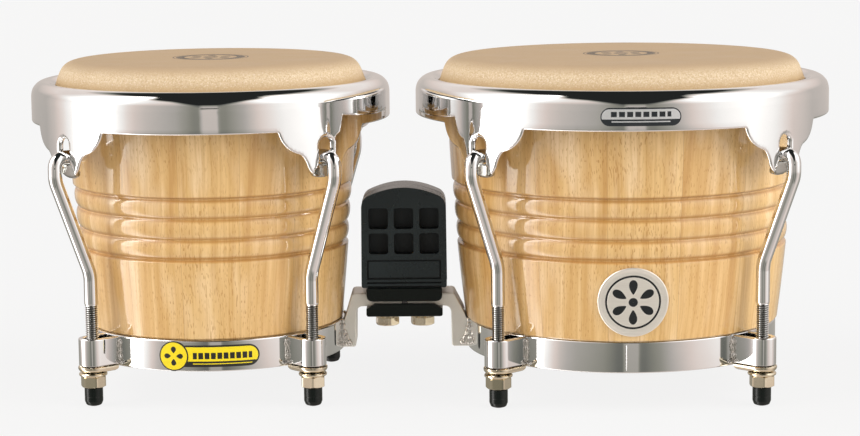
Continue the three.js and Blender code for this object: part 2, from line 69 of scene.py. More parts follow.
class Drum:
    """One drum's places and sizes. Its local frame has +Z up and its outside towards -Y."""

    def __init__(self, name, shell_foot, bulge, hook, bends, band_bottom):
        self.name = name
        low, high = extent(f"{name}_rim")
        self.x = (low.x + high.x) / 2
        self.rim = half_width(f"{name}_rim")
        self.collar = half_width(f"{name}_head") - 0.2
        self.shell_top = half_width(f"{name}_shell")
        self.ring = half_width(f"{name}_bottom_ring")
        self.shell_foot = shell_foot
        self.bulge = bulge
        self.hook = hook
        self.bends = bends
        self.band_bottom = band_bottom
        self.lugs = []
        for number in range(1, 5):
            low, high = extent(f"{name}_foot_{number}")
            place = (low + high) / 2 - Vector((self.x, 0, 0))
            self.rod = hypot(place.x, place.y)
            self.lugs.append(atan2(place.x, -place.y))

    def turn(self, angle=0.0):
        """The local frame turned to an angle from the front towards +X."""
        return Matrix.Translation((self.x, 0, 0)) @ Matrix.Rotation(angle, 4, "Z")

    def shell(self, height):
        """Outer radius of the wood without its beads."""
        t = (height - RING_TOP) / (SHELL_SHOULDER - RING_TOP)
        taper = self.shell_foot + (self.shell_top - self.shell_foot) * t
        return taper + 4 * self.bulge * t * (1 - t)


RING_BOTTOM, RING_TOP = heights("hembra_bottom_ring")
SHELL_BOTTOM, SHELL_TOP = heights("hembra_shell")
COLLAR_BOTTOM, HEAD_TOP = heights("hembra_head")
CLAW_TIP, RIM_CREST = heights("hembra_rim")
FOOT_RADIUS = half_width("hembra_foot_1")
FOOT_TOP = heights("hembra_foot_1")[1]
NUT_BOTTOM, NUT_TOP = heights("hembra_nut_1")
SADDLE_BOTTOM, SADDLE_TOP = heights("hembra_saddle_1")
ROD_BOTTOM = heights("hembra_rod_1")[0]
HOOP_HEIGHT = sum(heights("hembra_flesh_hoop")) / 2

SHELL_SHOULDER = HEAD_TOP - 9.1
SHELL_WALL = 10
BEARING_EDGE = 8  # size of the rounding at the shell's top
SKIN = 1.8
HIDE_LAP = 1.2  # thickness of the hide at its side
COLLAR_FLARE = 1.7
# The hide's side, as (distance in from its lower edge, distance below its top)
HIDE_CURVE = [(-20, 0), (-15.5, 0.2), (-11, 0.9), (-7.4, 2.4), (-4.8, 5.0), (-3.1, 8.6), (-1.4, 13.2),
              (-0.1, 17.5), (0, HEAD_TOP - COLLAR_BOTTOM)]
GROOVES = [87.3, 98.6, 110.7, 122]
GROOVE_DEPTH = 2.1
GROOVE_SHOULDER = 2.2
BEAD_RECESS = 0.3
SHEET = 2.5
RIM_SHOULDER = RIM_CREST - 8.6
# The rolled crown's outside, end and inside, as (distance in from the rim, distance below its crest)
CROWN = [
    [(0, 8.6), (0.35, 6.2), (1.3, 3.8), (3.4, 1.5), (5.6, 0.3), (7.7, 0), (9.8, 0.35), (11.4, 1.3),
     (12.8, 2.7), (13.6, 4.2)],
    [(13.6, 4.2), (13.4, 5.1), (12.3, 5.2)],
    [(12.3, 5.2), (10.4, 3.2), (7.7, SHEET), (5.2, 3.2), (3.4, 5.4), (SHEET, 8.6)]]
SLOT_HALF_WIDTH = 4.5
SLOT_BOTTOM = 141.4
SLOT_TOP = 156.5
SLOT_ARCH = SLOT_TOP - SLOT_HALF_WIDTH
HOOP = 3.6
HOOP_INSET = 8.3
ROD = 4
THREAD = {"radius": 3.9, "pitch": 1.25, "depth": 0.85, "top": 60}
HOOK_HEIGHT = 145.7
HOOK_REACH = 19
HEX_FLATS = 13
RING_WALL = 2.8
LUG = {"bottom": 23.8, "top": 40, "radius": 8, "wall": 3}
SADDLE_RADIUS = 8.6
RING_SEAM = {"macho": 240, "hembra": -3.2}

MACHO = Drum("macho", shell_foot=75.9, bulge=0.9, hook=111.9, bends=(77, 132.6), band_bottom=161)
HEMBRA = Drum("hembra", shell_foot=92.9, bulge=1.9, hook=127.4, bends=(82, 133.5), band_bottom=162.5)

# ---- Outlines ----


def polar(radius, angle, height):
    """A point of a drum's local frame, its angle from the front towards +X."""
    return Vector((radius * sin(angle), -radius * cos(angle), height))


def turns(count):
    return [2 * pi * i / count for i in range(count)]


def arc(x, y, radius, start, end, steps):
    """Points round (x, y) between two angles in degrees."""
    points = []
    for i in range(steps + 1):
        angle = radians(start + (end - start) * i / steps)
        points.append(Vector((x + radius * cos(angle), y + radius * sin(angle))))
    return points


def bezier(start, corner, end, steps):
    start, corner, end = Vector(start), Vector(corner), Vector(end)
    shares = [i / steps for i in range(steps + 1)]
    return [start.lerp(corner, t).lerp(corner.lerp(end, t), t) for t in shares]


def fillet(corners, steps=4, closed=True):
    """An outline of (x, y) points from corners (x, y, radius), each rounded by its radius."""
    outline = []
    for i, (x, y, radius) in enumerate(corners):
        here = Vector((x, y))
        at_end = not closed and i in (0, len(corners) - 1)
        if radius == 0 or at_end:
            outline.append(here)
            continue
        before = Vector(corners[i - 1][:2]) - here
        after = Vector(corners[(i + 1) % len(corners)][:2]) - here
        reach = radius / tan(before.angle(after) / 2)
        reach = min(reach, before.length * 0.49, after.length * 0.49)
        outline += bezier(here + before.normalized() * reach, here, here + after.normalized() * reach, steps)
    return outline


def rectangle(left, right, low, high, at_left=0.0, at_right=0.0):
    """A rectangle whose corners are rounded by one radius at the left and one at the right."""
    return fillet([(left, low, at_left), (right, low, at_right), (right, high, at_right),
                   (left, high, at_left)])


def through(knots, steps=4):
    """A smooth curve through (x, y) knots, with steps points between each two."""
    knots = [Vector(k) for k in knots]
    padded = [knots[0], *knots, knots[-1]]
    points = []
    for a, b, c, d in zip(padded, padded[1:], padded[2:], padded[3:]):
        for t in (i / steps for i in range(steps)):
            cubic = (3 * b - a - 3 * c + d) * t ** 3
            points.append(0.5 * (2 * b + (c - a) * t + (2 * a - 5 * b + 4 * c - d) * t ** 2 + cubic))
    return [*points, knots[-1]]


def inset(outline, distance, closed=True):
    """An outline moved to its left by a distance: inwards, for one that runs anticlockwise."""
    moved = []
    last = len(outline) - 1
    for i, here in enumerate(outline):
        before = (here - outline[i - 1]).normalized()
        after = (outline[(i + 1) % len(outline)] - here).normalized()
        if not closed and i == 0:
            before = after
        if not closed and i == last:
            after = before
        normal = Vector((-before.y - after.y, before.x + after.x)).normalized()
        spread = max(0.5, normal.dot(Vector((-before.y, before.x))))
        moved.append(here + normal * distance / spread)
    return moved


def dense(outline, spacing, closed=True):
    """The outline with points added so that no two are further apart than spacing."""
    points = []
    ends = outline[1:] + outline[:1] if closed else outline[1:]
    for start, end in zip(outline, ends):
        count = max(1, ceil((end - start).length / spacing))
        points += [start.lerp(end, i / count) for i in range(count)]
    return points if closed else [*points, outline[-1]]


def both_sides(right):
    """A line up the right side to the middle, and down the left."""
    return right + [Vector((-p.x, p.y)) for p in right[-2::-1]]


def smooth(value):
    value = min(1.0, max(0.0, value))
    return value * value * (3 - 2 * value)


# ---- Meshes ----


class Form:
    """Points and faces of a piece, in millimetres."""

    def __init__(self):
        self.points = []
        self.faces = []

    def grid(self, rows, closed=False, wrap=False):
        """Quads between rows of points. wrap joins each row's ends, closed the last row to the first."""
        start, width = len(self.points), len(rows[0])
        for row in rows:
            self.points.extend(Vector(p) for p in row)
        for i in range(len(rows) if closed else len(rows) - 1):
            here, there = start + i * width, start + (i + 1) % len(rows) * width
            for j in range(width if wrap else width - 1):
                k = (j + 1) % width
                self.faces.append((here + j, here + k, there + k, there + j))
        return self

    def loft(self, rings):
        """A closed form through rings of points, with flat ends."""
        start, width = len(self.points), len(rings[0])
        self.grid(rings, wrap=True)
        for first in (start, start + (len(rings) - 1) * width):
            self.faces.append(tuple(range(first, first + width)))
        return self

    def extruded(self, outline, front, back):
        """A closed form from a front view (x, z) between two depths."""
        return self.loft([[(x, y, z) for x, z in outline] for y in (front, back)])

    def turned(self, profile, facets=ROUND, closed=True, shift=None):
        """Revolves (radius, height) points about the Z axis."""
        rows = []
        for angle in turns(facets):
            row = []
            for radius, height in profile:
                if shift:
                    radius += shift(angle, radius, height)
                row.append(polar(radius, angle, height))
            rows.append(row)
        return self.grid(rows, closed=True, wrap=closed)

    def triangles(self, points, faces):
        start = len(self.points)
        self.points.extend(points)
        self.faces += [tuple(start + k for k in face) for face in faces]
        return self

    def add(self, other, matrix=Matrix()):
        """Takes in another form, placed by a matrix."""
        return self.triangles([matrix @ p for p in other.points], other.faces)

    def mesh(self, name):
        mesh = bpy.data.meshes.new(name)
        mesh.from_pydata([p * MM for p in self.points], [], self.faces)
        work = bmesh.new()
        work.from_mesh(mesh)
        bmesh.ops.remove_doubles(work, verts=work.verts, dist=0.002 * MM)
        bmesh.ops.recalc_face_normals(work, faces=work.faces)
        work.to_mesh(mesh)
        work.free()
        return mesh


def at_each_lug(drum, forms):
    """Joins four forms, or one repeated, each turned to its lug's angle."""
    joined = Form()
    for form, angle in zip(forms, drum.lugs):
        joined.add(form, Matrix.Rotation(angle, 4, "Z"))
    return joined


def linked(name, data):
    obj = bpy.data.objects.new(name, data)
    bpy.context.scene.collection.objects.link(obj)
    return obj


def configured(thing, settings):
    for key, value in settings.items():
        setattr(thing, key, value)
    return thing


def modify(obj, kind, **settings):
    configured(obj.modifiers.new(kind.lower(), kind), settings)


def piece(name, shape, place, material, slot, replaces=(), body="root", crease=40):
    """Makes a visual piece of a placed form, or of a mesh, riding on a body in place of CAD nodes."""
    mesh = Form().add(shape, place).mesh(name) if isinstance(shape, Form) else shape
    mesh.shade_smooth()
    mesh.set_sharp_from_angle(angle=radians(crease))
    obj = linked(name, mesh)
    mesh.materials.clear()
    mesh.materials.append(material)
    modify(obj, "WEIGHTED_NORMAL", keep_sharp=True)
    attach(obj, body)
    if replaces:
        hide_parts(*replaces)
    return obj


def second_material(obj, material, chosen):
    """Gives a material to the faces whose middles, in millimetres, are chosen."""
    obj.data.materials.append(material)
    for face in obj.data.polygons:
        if chosen(face.center / MM):
            face.material_index = 1


def carved(name, outline, depth, cutters, edge):
    """A mesh at the block: a front view extruded along Y, cut by forms, with rounded edges."""
    obj = linked(name, Form().extruded(outline, -depth / 2, depth / 2).mesh(name))
    cutter = linked("cutter", cutters.mesh("cutter"))
    modify(obj, "BOOLEAN", operation="DIFFERENCE", solver="EXACT", use_self=True, object=cutter)
    modify(obj, "BEVEL", width=edge * MM, segments=3, limit_method="ANGLE", angle_limit=radians(30),
           harden_normals=False)
    made = obj.evaluated_get(bpy.context.evaluated_depsgraph_get())
    mesh = bpy.data.meshes.new_from_object(made)
    mesh.name = name
    mesh.transform(Matrix.Translation((BLOCK_X * MM, 0, 0)))
    for spare in (obj, cutter):
        bpy.data.objects.remove(spare, do_unlink=True)
    return mesh


def prism(outline, half, edge, slices):
    """A front view extruded along Y to half its depth each way, with rounded edges."""
    rings = []
    for i in range(4):
        angle = pi / 6 * i
        drawn = inset(outline, edge * (1 - sin(angle)))
        rings.append([(x, edge * (1 - cos(angle)) - half, z) for x, z in drawn])
    far = [[(x, -y, z) for x, y, z in ring] for ring in rings]
    for i in range(1, slices):
        y = edge - half + 2 * (half - edge) * i / slices
        rings.append([(x, y, z) for x, z in outline])
    return Form().loft(rings + far[::-1])


def tube(path, radius, seed=0.0, lumps=0.0):
    """A round bead along a path, closed at both ends, with a lumpy surface."""
    rings = []
    for i, here in enumerate(path):
        before, after = path[max(i - 1, 0)], path[min(i + 1, len(path) - 1)]
        along = (after - before).normalized()
        side = along.orthogonal().normalized()
        across = along.cross(side)
        share = i / (len(path) - 1)
        swell = radius * sqrt(max(0.02, 1 - (2 * share - 1) ** 6))
        ring = []
        for angle in turns(10):
            out = side * cos(angle) + across * sin(angle)
            rough = noise.noise((here + out * radius) * 0.55 + Vector((seed, 0, 0)))
            ring.append(here + out * (swell + lumps * rough))
        rings.append(ring)
    return Form().loft(rings)


# ---- Materials ----


def by_node(operation):
    """A method that passes its values to a math node."""
    def joined(self, *others):
        return self.tree.out("Math", {0: self, **dict(enumerate(others, 1))}, operation=operation)
    return joined


class Value:
    """A number worked out in a node tree. It takes part in sums as a plain number does."""

    def __init__(self, tree, socket):
        self.tree = tree
        self.socket = socket

    __add__ = by_node("ADD")
    __sub__ = by_node("SUBTRACT")
    __mul__ = by_node("MULTIPLY")
    __truediv__ = by_node("DIVIDE")
    __abs__ = by_node("ABSOLUTE")
    floor = by_node("FLOOR")
    fraction = by_node("FRACT")
    root = by_node("SQRT")
    cosine = by_node("COSINE")
    arcsine = by_node("ARCSINE")
    direction = by_node("ARCTAN2")
    most = by_node("MAXIMUM")

    def __neg__(self):
        return self * -1.0

    def ranged(self, low, high, to_low=0.0, to_high=1.0):
        """The value between low and high, spread over another range and held at its ends."""
        return self.tree.out("MapRange", {0: self, 1: low, 2: high, 3: to_low, 4: to_high})

    def within(self, *bands, soft=0.08):
        """1 where a length in metres lies in one of the (from, to) bands in millimetres."""
        total = None
        for low, high in bands:
            rise = self.ranged((low - soft) * MM, (low + soft) * MM)
            band = rise * self.ranged((high - soft) * MM, (high + soft) * MM, 1.0, 0.0)
            total = total.most(band) if total else band
        return total


class Nodes:
    """A node tree, built by calls whose inputs are values of it or plain ones."""

    def __init__(self, owner):
        owner.use_nodes = True
        self.tree = owner.node_tree
        self.tree.nodes.clear()

    def set(self, socket, value):
        if isinstance(value, Value):
            self.tree.links.new(value.socket, socket)
        elif socket.type == "RGBA" and len(value) == 3:
            socket.default_value = (*value, 1)
        else:
            socket.default_value = value

    def add(self, kind, inputs=None, **settings):
        """A new node, its inputs given by name or number."""
        node = configured(self.tree.nodes.new("ShaderNode" + kind), settings)
        for key, value in (inputs or {}).items():
            self.set(node.inputs[key], value)
        return node

    def out(self, kind, inputs=None, output=0, **settings):
        """The value that a new node gives."""
        return Value(self, self.add(kind, inputs, **settings).outputs[output])

    def split(self, vector):
        sockets = self.add("SeparateXYZ", {"Vector": vector}).outputs
        return [Value(self, socket) for socket in sockets]

    def noise(self, scale, detail=3.0, vector=None):
        return self.out("TexNoise", {"Scale": scale, "Detail": detail, "Vector": vector or self.place})

    def blend(self, share, first, second):
        return self.out("Mix", {0: share, 6: first, 7: second}, output=2, data_type="RGBA")

    def layers(self, colour, *layers):
        """A colour with others laid over it, each given as (share, colour)."""
        for share, laid in layers:
            colour = self.blend(share, colour, laid)
        return colour

    def choose(self, share, first, second):
        return self.out("Mix", {0: share, 2: first, 3: second}, data_type="FLOAT")

    def ramp(self, value, stops):
        """A curve of (position, colour or grey) stops."""
        node = self.add("ValToRGB", {"Fac": value})
        elements = node.color_ramp.elements
        while len(elements) < len(stops):
            elements.new(0.5)
        for element, (position, colour) in zip(elements, stops):
            element.position = position
            element.color = (*colour, 1) if isinstance(colour, tuple) else (colour, colour, colour, 1)
        return Value(self, node.outputs[0])


class Paint(Nodes):
    """A material: a principled shader, and the object's own coordinates in `place`."""

    def __init__(self, name, **constants):
        self.material = bpy.data.materials.new(name)
        super().__init__(self.material)
        self.shader = self.add("BsdfPrincipled", constants)
        self.add("OutputMaterial", {"Surface": Value(self, self.shader.outputs[0])})
        self.place = self.out("TexCoord", output="Object")

    def centred(self, x, z=0.0):
        """Distances across, in depth and up from a point in the drums' middle plane, in metres."""
        move = (-x * MM, 0, -z * MM)
        return self.split(self.out("Mapping", {"Vector": self.place, "Location": move}))

    def on_drum(self, drum, angle, radius, height):
        """Distances along and up from a point on a turned surface, in metres."""
        across, depth, up = self.centred(drum.x, height)
        return (across.direction(-depth) - angle) * (radius * MM), up

    def made(self, colour, roughness, relief, depth, **others):
        """Joins the shader's main inputs, with a relief `depth` millimetres deep."""
        bump = self.out("Bump", {"Height": relief, "Distance": depth * MM, "Strength": 1.0})
        inputs = {"Base Color": colour, "Roughness": roughness, "Normal": bump, **others}
        for key, value in inputs.items():
            self.set(self.shader.inputs[key], value)
        return self.material

    def patchy(self, patches, light, dark, rough, relief, depth):
        """A plain material whose colour and gloss vary by patches."""
        return self.made(self.blend(patches, dark, light), patches.ranged(0.3, 0.7, *rough), relief, depth)


def metal(name, light, dark, rough, grain, bump, scale=60.0, metallic=1.0):
    """Plated metal with faint smudges in its colour and gloss."""
    paint = Paint(name, Metallic=metallic)
    return paint.patchy(paint.noise(scale, 4.0), light, dark, rough, paint.noise(grain, 2.0), bump)


def rubbery(name, light, dark, rough, grain, bump):
    """Moulded rubber or a coat of paint with a fine grain."""
    paint = Paint(name, **{"Specular IOR Level": 0.28})
    return paint.patchy(paint.noise(45.0, 5.0), light, dark, rough, paint.noise(grain, 3.0), bump)


CHROME = metal("chrome", (0.86, 0.865, 0.87), (0.80, 0.805, 0.81), (0.03, 0.06), 90, 0.012)
# Painted shade: darker, rougher chrome for the claws' channels, standing in for the dark surroundings
# mirrored there.
SHADED_CHROME = metal("shaded_chrome", (0.50, 0.50, 0.47), (0.34, 0.34, 0.32), (0.10, 0.18), 300, 0.03)
# Painted shade: darker chrome in the roots of the rods' threads.
SHADED_THREAD_ROOT = metal("shaded_thread_root", (0.32, 0.315, 0.30), (0.20, 0.20, 0.19), (0.2, 0.35), 900, 0.03)
WELD = metal("weld", (0.90, 0.88, 0.84), (0.50, 0.48, 0.44), (0.12, 0.3), 900, 0.25, scale=500)
NICKEL = metal("nickel", (0.80, 0.72, 0.56), (0.68, 0.60, 0.46), (0.07, 0.15), 700, 0.008)
ZINC = metal("zinc_plate", (0.84, 0.81, 0.74), (0.76, 0.73, 0.66), (0.3, 0.42), 900, 0.05, metallic=0.4)
BRASS = metal("brass", (0.78, 0.60, 0.30), (0.62, 0.45, 0.20), (0.25, 0.4), 600, 0.03)
RUBBER = rubbery("rubber", (0.005, 0.008, 0.007), (0.002, 0.004, 0.003), (0.20, 0.30), 1500, 0.04)
PAINTED = rubbery("black_paint", (0.004, 0.007, 0.006), (0.002, 0.004, 0.003), (0.16, 0.26), 1200, 0.03)


def block_paint():
    """Semi-gloss black plastic with a blue cast, darker and duller inside its pockets: the darkening is
    painted shade.
    """
    paint = Paint("block_plastic", **{"Specular IOR Level": 0.55})
    x, y, z = paint.centred(BLOCK_X)
    face = BLOCK_DEPTH / 2
    # Painted shade: the pockets and grooves are darkened in colour, and made duller.
    sunk = abs(y).ranged((face - 2.4) * MM, (face - PANEL["depth"] - 0.2) * MM, 1.0, 0.0)
    between = abs(x).ranged((PANEL["half"] - 0.2) * MM, (PANEL["half"] + 0.2) * MM, 1.0, 0.0)
    pocket_top = POCKET["base"] + POCKET["pitch"] * POCKET["rows"]
    deep = sunk * between * z.ranged((pocket_top - 1) * MM, pocket_top * MM, 1.0, 0.0)
    worn = paint.noise(45.0, 5.0)
    # Bluish patches: partly smudges, partly a painted hazy reflection.
    smudge_and_reflection = paint.noise(22.0, 2.0).ranged(0.5, 0.75, 0.0, 0.6)
    colour = paint.layers((0.006, 0.012, 0.014), (worn, (0.012, 0.022, 0.026)),
                          (smudge_and_reflection, (0.022, 0.036, 0.042)), (deep * 0.6, (0.002, 0.003, 0.004)))
    return paint.made(colour, (worn + deep).ranged(0.3, 1.6, 0.20, 0.6), paint.noise(2200.0, 3.0), 0.03)


def wood(drum, staves=15, offset=0.35):
    """Lacquered staves with an upright grain, short pores and darker turned grooves: partly pooled lacquer,
    partly painted shade.
    """
    paint = Paint(f"{drum.name}_wood", **{
        "Coat Weight": 1.0, "Coat Roughness": 0.05, "Coat IOR": 1.55, "Specular IOR Level": 0.3})
    across, depth, height = paint.centred(drum.x)
    angle = across.direction(-depth)
    around = angle * (staves / (2 * pi)) + offset
    tone = paint.out("TexWhiteNoise", {"W": around.floor()}, noise_dimensions="1D")
    lean = height * ((tone - 0.5) * 0.10)
    wander = paint.noise(14.0, 2.0) * 0.006
    shifted = angle * (drum.shell_top * MM) + lean + wander + tone * 3.0

    def strand(fine, long, detail):
        joined = {"X": shifted * fine, "Y": tone, "Z": height * long}
        return paint.noise(1.0, detail, paint.out("CombineXYZ", joined))

    fine = strand(800, 20, 2.0)
    pores = strand(1800, 330, 0.0)
    base = paint.ramp(strand(170, 9, 3.0), [
        (0.30, (0.53, 0.285, 0.085)), (0.5, (0.65, 0.395, 0.145)), (0.70, (0.76, 0.51, 0.235))])
    flecked = paint.noise(30.0, 2.0).ranged(0.36, 0.56, 0.25, 1.0)
    # Painted shade, partly pooled lacquer: a dark band along each groove, less dark at its floor.
    stops = [(0.0, 0.0)]
    low, high = GROOVES[0] - 8, GROOVES[-1] + 8
    for groove in GROOVES:
        middle = (groove - low) / (high - low)
        stops += [(middle - 0.045, 0.0), (middle - 0.016, 1.0), (middle, 0.35), (middle + 0.016, 1.0),
                  (middle + 0.045, 0.0)]
    colour = paint.layers(
        base,
        (tone.ranged(0.0, 1.0, 0.0, 0.55), (0.80, 0.56, 0.26)),
        (strand(60, 16, 2.0).ranged(0.5, 0.72, 0.0, 0.7), (0.86, 0.65, 0.40)),
        (fine.ranged(0.45, 0.72, 0.0, 0.45), (0.50, 0.26, 0.065)),
        (pores.ranged(0.655, 0.715, 0.0, 0.6) * flecked, (0.40, 0.18, 0.04)),
        (abs(around.fraction() - 0.5).ranged(0.4925, 0.4985, 0.0, 0.45), (0.38, 0.20, 0.07)),
        (paint.ramp(height.ranged(low * MM, high * MM), stops) * 0.75, (0.42, 0.20, 0.045)))
    return paint.made(colour, fine.ranged(0.3, 0.7, 0.32, 0.45), pores, 0.03)


def rosette(across, up, petals, low, high):
    """The radius, and 1 inside a ring of petals between two radii in millimetres."""
    radius = (across * across + up * up).root()
    wave = (across.direction(up) * petals).cosine()
    away = (radius - (low + high) / 2 * MM) / ((high - low) / 2 * MM)
    return radius, (wave - away * away).ranged(0.0, 0.08)


def hide(drum):
    """Natural hide: smooth on top with a grey printed rosette, mottled at the collar, with painted shade at
    the collar's foot by the rim.
    """
    paint = Paint(f"{drum.name}_hide", **{"Specular IOR Level": 0.2})
    across, depth, height = paint.centred(drum.x)
    cloud = paint.noise(38.0, 4.0)
    speckle = paint.noise(1250.0, 3.0)
    fibre = paint.noise(900.0, 3.0)
    top = paint.layers((0.41, 0.295, 0.18), (cloud, (0.49, 0.365, 0.235)),
                       (speckle.ranged(0.45, 0.7, 0.0, 0.25), (0.34, 0.235, 0.14)))
    # The side's last layer is painted shade: darker towards the collar's lower edge, where it meets the rim.
    side = paint.layers((0.55, 0.41, 0.25), (cloud, (0.66, 0.54, 0.37)),
                        (fibre.ranged(0.46, 0.60, 0.0, 0.6), (0.46, 0.32, 0.18)),
                        (speckle.ranged(0.52, 0.66, 0.0, 0.5), (0.82, 0.74, 0.60)),
                        ((fibre * 0.004 + height).ranged(0.1855, 0.1905, 0.75, 0.0), (0.42, 0.27, 0.12)))
    on_top = height.ranged((HEAD_TOP - 5.5) * MM, (HEAD_TOP - 0.6) * MM)
    radius, petals = rosette(across, depth, 6, 6.5, 13.0)
    printed = petals.most(radius.within((2, 4.5), (15.5, 20.5), (21.7, 22.5), soft=0.12))
    printed = printed * speckle.ranged(0.38, 0.55, 0.55, 1.0) * on_top
    colour = paint.layers(side, (on_top, top), (printed, (0.085, 0.08, 0.075)))
    return paint.made(colour, cloud.ranged(0.3, 0.7, 0.5, 0.68), fibre + speckle, 0.10)


# ---- Shells, heads, rims and hoops ----


def shell_form(drum):
    """Turned wood: rebated into its ring, beaded between the grooves, rounded at the top."""
    rebate = drum.ring - RING_WALL - GAP
    level = RING_TOP + GAP

    def flank(share):
        return GROOVE_DEPTH * min(1, share) ** 2.4

    rows = [(level, 0.8)]
    rows += [(height, 0) for height in (level + 0.8, 50, 60, 70, 80, GROOVES[0] - GROOVE_SHOULDER)]
    rows += [(GROOVES[0] - GROOVE_SHOULDER * (1 - i / 6), flank(i / 4.5)) for i in range(1, 7)]
    for low, high in zip(GROOVES, GROOVES[1:]):
        for t in (i / 32 for i in range(1, 33)):
            swell = max(0.0, 1 - (abs(2 * t - 1) / 0.95) ** 2.2) ** (1 / 1.5)
            rows.append((low + (high - low) * t, GROOVE_DEPTH - (GROOVE_DEPTH - BEAD_RECESS) * swell))
    rows += [(GROOVES[-1] + GROOVE_SHOULDER * i / 6, flank((6 - i) / 4.5)) for i in range(1, 7)]
    rows += [(height, 0) for height in range(130, 190, 10)]
    outer = [(rebate, SHELL_BOTTOM + 1.2), (rebate, level)]
    outer += [(drum.shell(height) - recess, height) for height, recess in rows]
    top, inner = drum.shell_top, drum.shell_top - SHELL_WALL
    crest = (top - BEARING_EDGE, SHELL_TOP)
    edge = bezier((top, SHELL_TOP - BEARING_EDGE), (top, SHELL_TOP), crest, 7)
    edge += bezier(crest, (inner, SHELL_TOP), (inner, SHELL_TOP - 3), 4)[1:]
    foot = fillet([(inner, SHELL_TOP - 3, 0), (rebate - SHELL_WALL + 1, SHELL_BOTTOM, 1.5),
                   (rebate, SHELL_BOTTOM, 1.2), (rebate, SHELL_BOTTOM + 1.2, 0)], closed=False)
    return Form().turned([*outer, *edge, *foot[1:-1]])


def head_form(drum):
    """Hide over the bearing edge, with a slightly uneven collar."""
    edge = drum.collar + COLLAR_FLARE
    flat = [(edge * i / 8, HEAD_TOP) for i in range(7)]
    outer = through([(edge + inward, HEAD_TOP - drop) for inward, drop in HIDE_CURVE])
    inner = [(r - HIDE_LAP, max(z, COLLAR_BOTTOM)) for r, z in outer if z < HEAD_TOP - 2.5][::-1]
    under = [(edge - 12, HEAD_TOP - SKIN), (0, HEAD_TOP - SKIN)]

    def uneven(angle, radius, height):
        away = smooth((HEAD_TOP - 2 - height) / 8)
        x, y = sin(angle) * 9, cos(angle) * 9
        pleat = noise.noise(Vector((x * 4, y * 4, height * 0.05 + drum.x)))
        return away * (0.28 * noise.noise(Vector((x, y, height * 0.08))) + 0.12 * pleat)

    return Form().turned([*flat, *outer, *inner, *under], closed=False, shift=uneven)


def claw_edge(drum):
    """Half of a quarter's lower edge as seen from outside: from the claw's tip outwards."""
    shoulder = drum.band_bottom
    foot = (31, shoulder - 1)
    edge = bezier((0, CLAW_TIP), (9.5, CLAW_TIP), (12.5, CLAW_TIP + 7), 12)
    edge += bezier((12.5, CLAW_TIP + 7), (14.5, shoulder - 15), (18, shoulder - 13), 8)[1:]
    edge += bezier((18, shoulder - 13), (28, shoulder - 10.5), foot, 14)[1:]
    tail = fillet([(*foot, 0), (31.6, shoulder, 3), (pi / 4 * drum.rim, shoulder, 0)], closed=False)
    return dense(edge, 0.8, closed=False)[:-1] + dense(tail, 2.4, closed=False)


def to_edges(points, loops):
    """Each point's distance to the nearest of some closed loops."""
    pairs = [pair for loop in loops for pair in zip(loop, loop[1:] + loop[:1])]
    found = []
    for p in points:
        best = inf
        for a, b in pairs:
            along = b - a
            t = max(0.0, min(1.0, (p - a).dot(along) / max(along.length_squared, 1e-9)))
            best = min(best, (a + along * t - p).length_squared)
        found.append(sqrt(best))
    return found


def inside(p, loop):
    crossed = False
    for a, b in zip(loop, loop[1:] + loop[:1]):
        if (a.y > p.y) != (b.y > p.y) and p.x < a.x + (b.x - a.x) * (p.y - a.y) / (b.y - a.y):
            crossed = not crossed
    return crossed


def filled(outline, holes, spacing):
    """Triangles over an outline less its holes: flat points, and faces.

    spacing(x, y) is the distance between the points inside it."""
    def covered(p):
        return inside(p, outline) and not any(inside(p, hole) for hole in holes)

    loops = [outline, *holes]
    points, fixed, inner = [], [], []
    for loop in loops:
        start = len(points)
        points += loop
        fixed += [(start + i, start + (i + 1) % len(loop)) for i in range(len(loop))]
    left, right = min(p.x for p in outline), max(p.x for p in outline)
    y, top = min(p.y for p in outline), max(p.y for p in outline)
    while y < top:
        x = left
        while x < right:
            inner.append(Vector((x, y)))
            x += spacing(x, y)
        y += spacing(0, y)
    inner = [p for p in inner if covered(p)]
    inner = [p for p, away in zip(inner, to_edges(inner, loops)) if away > 0.45 * spacing(p.x, p.y)]
    flat, _, made, *_ = delaunay_2d_cdt(points + inner, fixed, [], 0, 1e-6)
    faces = [face for face in made if covered(sum((flat[k] for k in face), Vector((0, 0))) / 3)]
    return flat, faces


def rounded_rows(line, half, closed=True, side=1):
    """Rows of (x, y, dip) from a sheet's edge into it, for a round edge: half is half its thickness."""
    rows = []
    for i in range(6):
        turn = pi / 10 * i
        moved = inset(line, side * half * (1 - cos(turn)), closed)
        rows.append([(p.x, p.y, half * (1 - sin(turn))) for p in moved])
    return rows


def inner_line(rows):
    return [Vector((x, y)) for x, y, _ in rows[-1]]


def sheet_form(strips, fill, place):
    """A sheet of two sides: rounded strips along its edges, and a fill between them.

    place(x, y, dip, outside) puts a point of one side in space."""
    form = Form()
    flat, faces = fill
    for outside in (True, False):
        for rows, closed in strips:
            form.grid([[place(*p, outside) for p in row] for row in rows], wrap=closed)
        form.triangles([place(p.x, p.y, 0.0, outside) for p in flat], faces)
    return form


def slot_loop():
    """The arched slot in a claw, where the hook goes through."""
    foot = [Vector((x, SLOT_BOTTOM)) for x in (-SLOT_HALF_WIDTH, SLOT_HALF_WIDTH)]
    return dense(foot + arc(0, SLOT_ARCH, SLOT_HALF_WIDTH, 0, 180, 14), 1.0)


def pressing(x, z):
    """How far the claw's sheet is pressed in: round its slot, and in a channel below it."""
    away = hypot(x, max(z - SLOT_ARCH, 0)) - SLOT_HALF_WIDTH
    lip = 0.9 * (1 - smooth(away / 1.9)) if z > SLOT_BOTTOM else 0.0
    half = 4.4 + 4.0 * smooth((SLOT_BOTTOM + 2.5 - z) / 8)
    below = smooth((SLOT_BOTTOM + 4.0 - z) / 2.8)
    channel = 3.6 * below * smooth((half + 1.1 - abs(x)) / 2.2)
    return max(lip, channel)


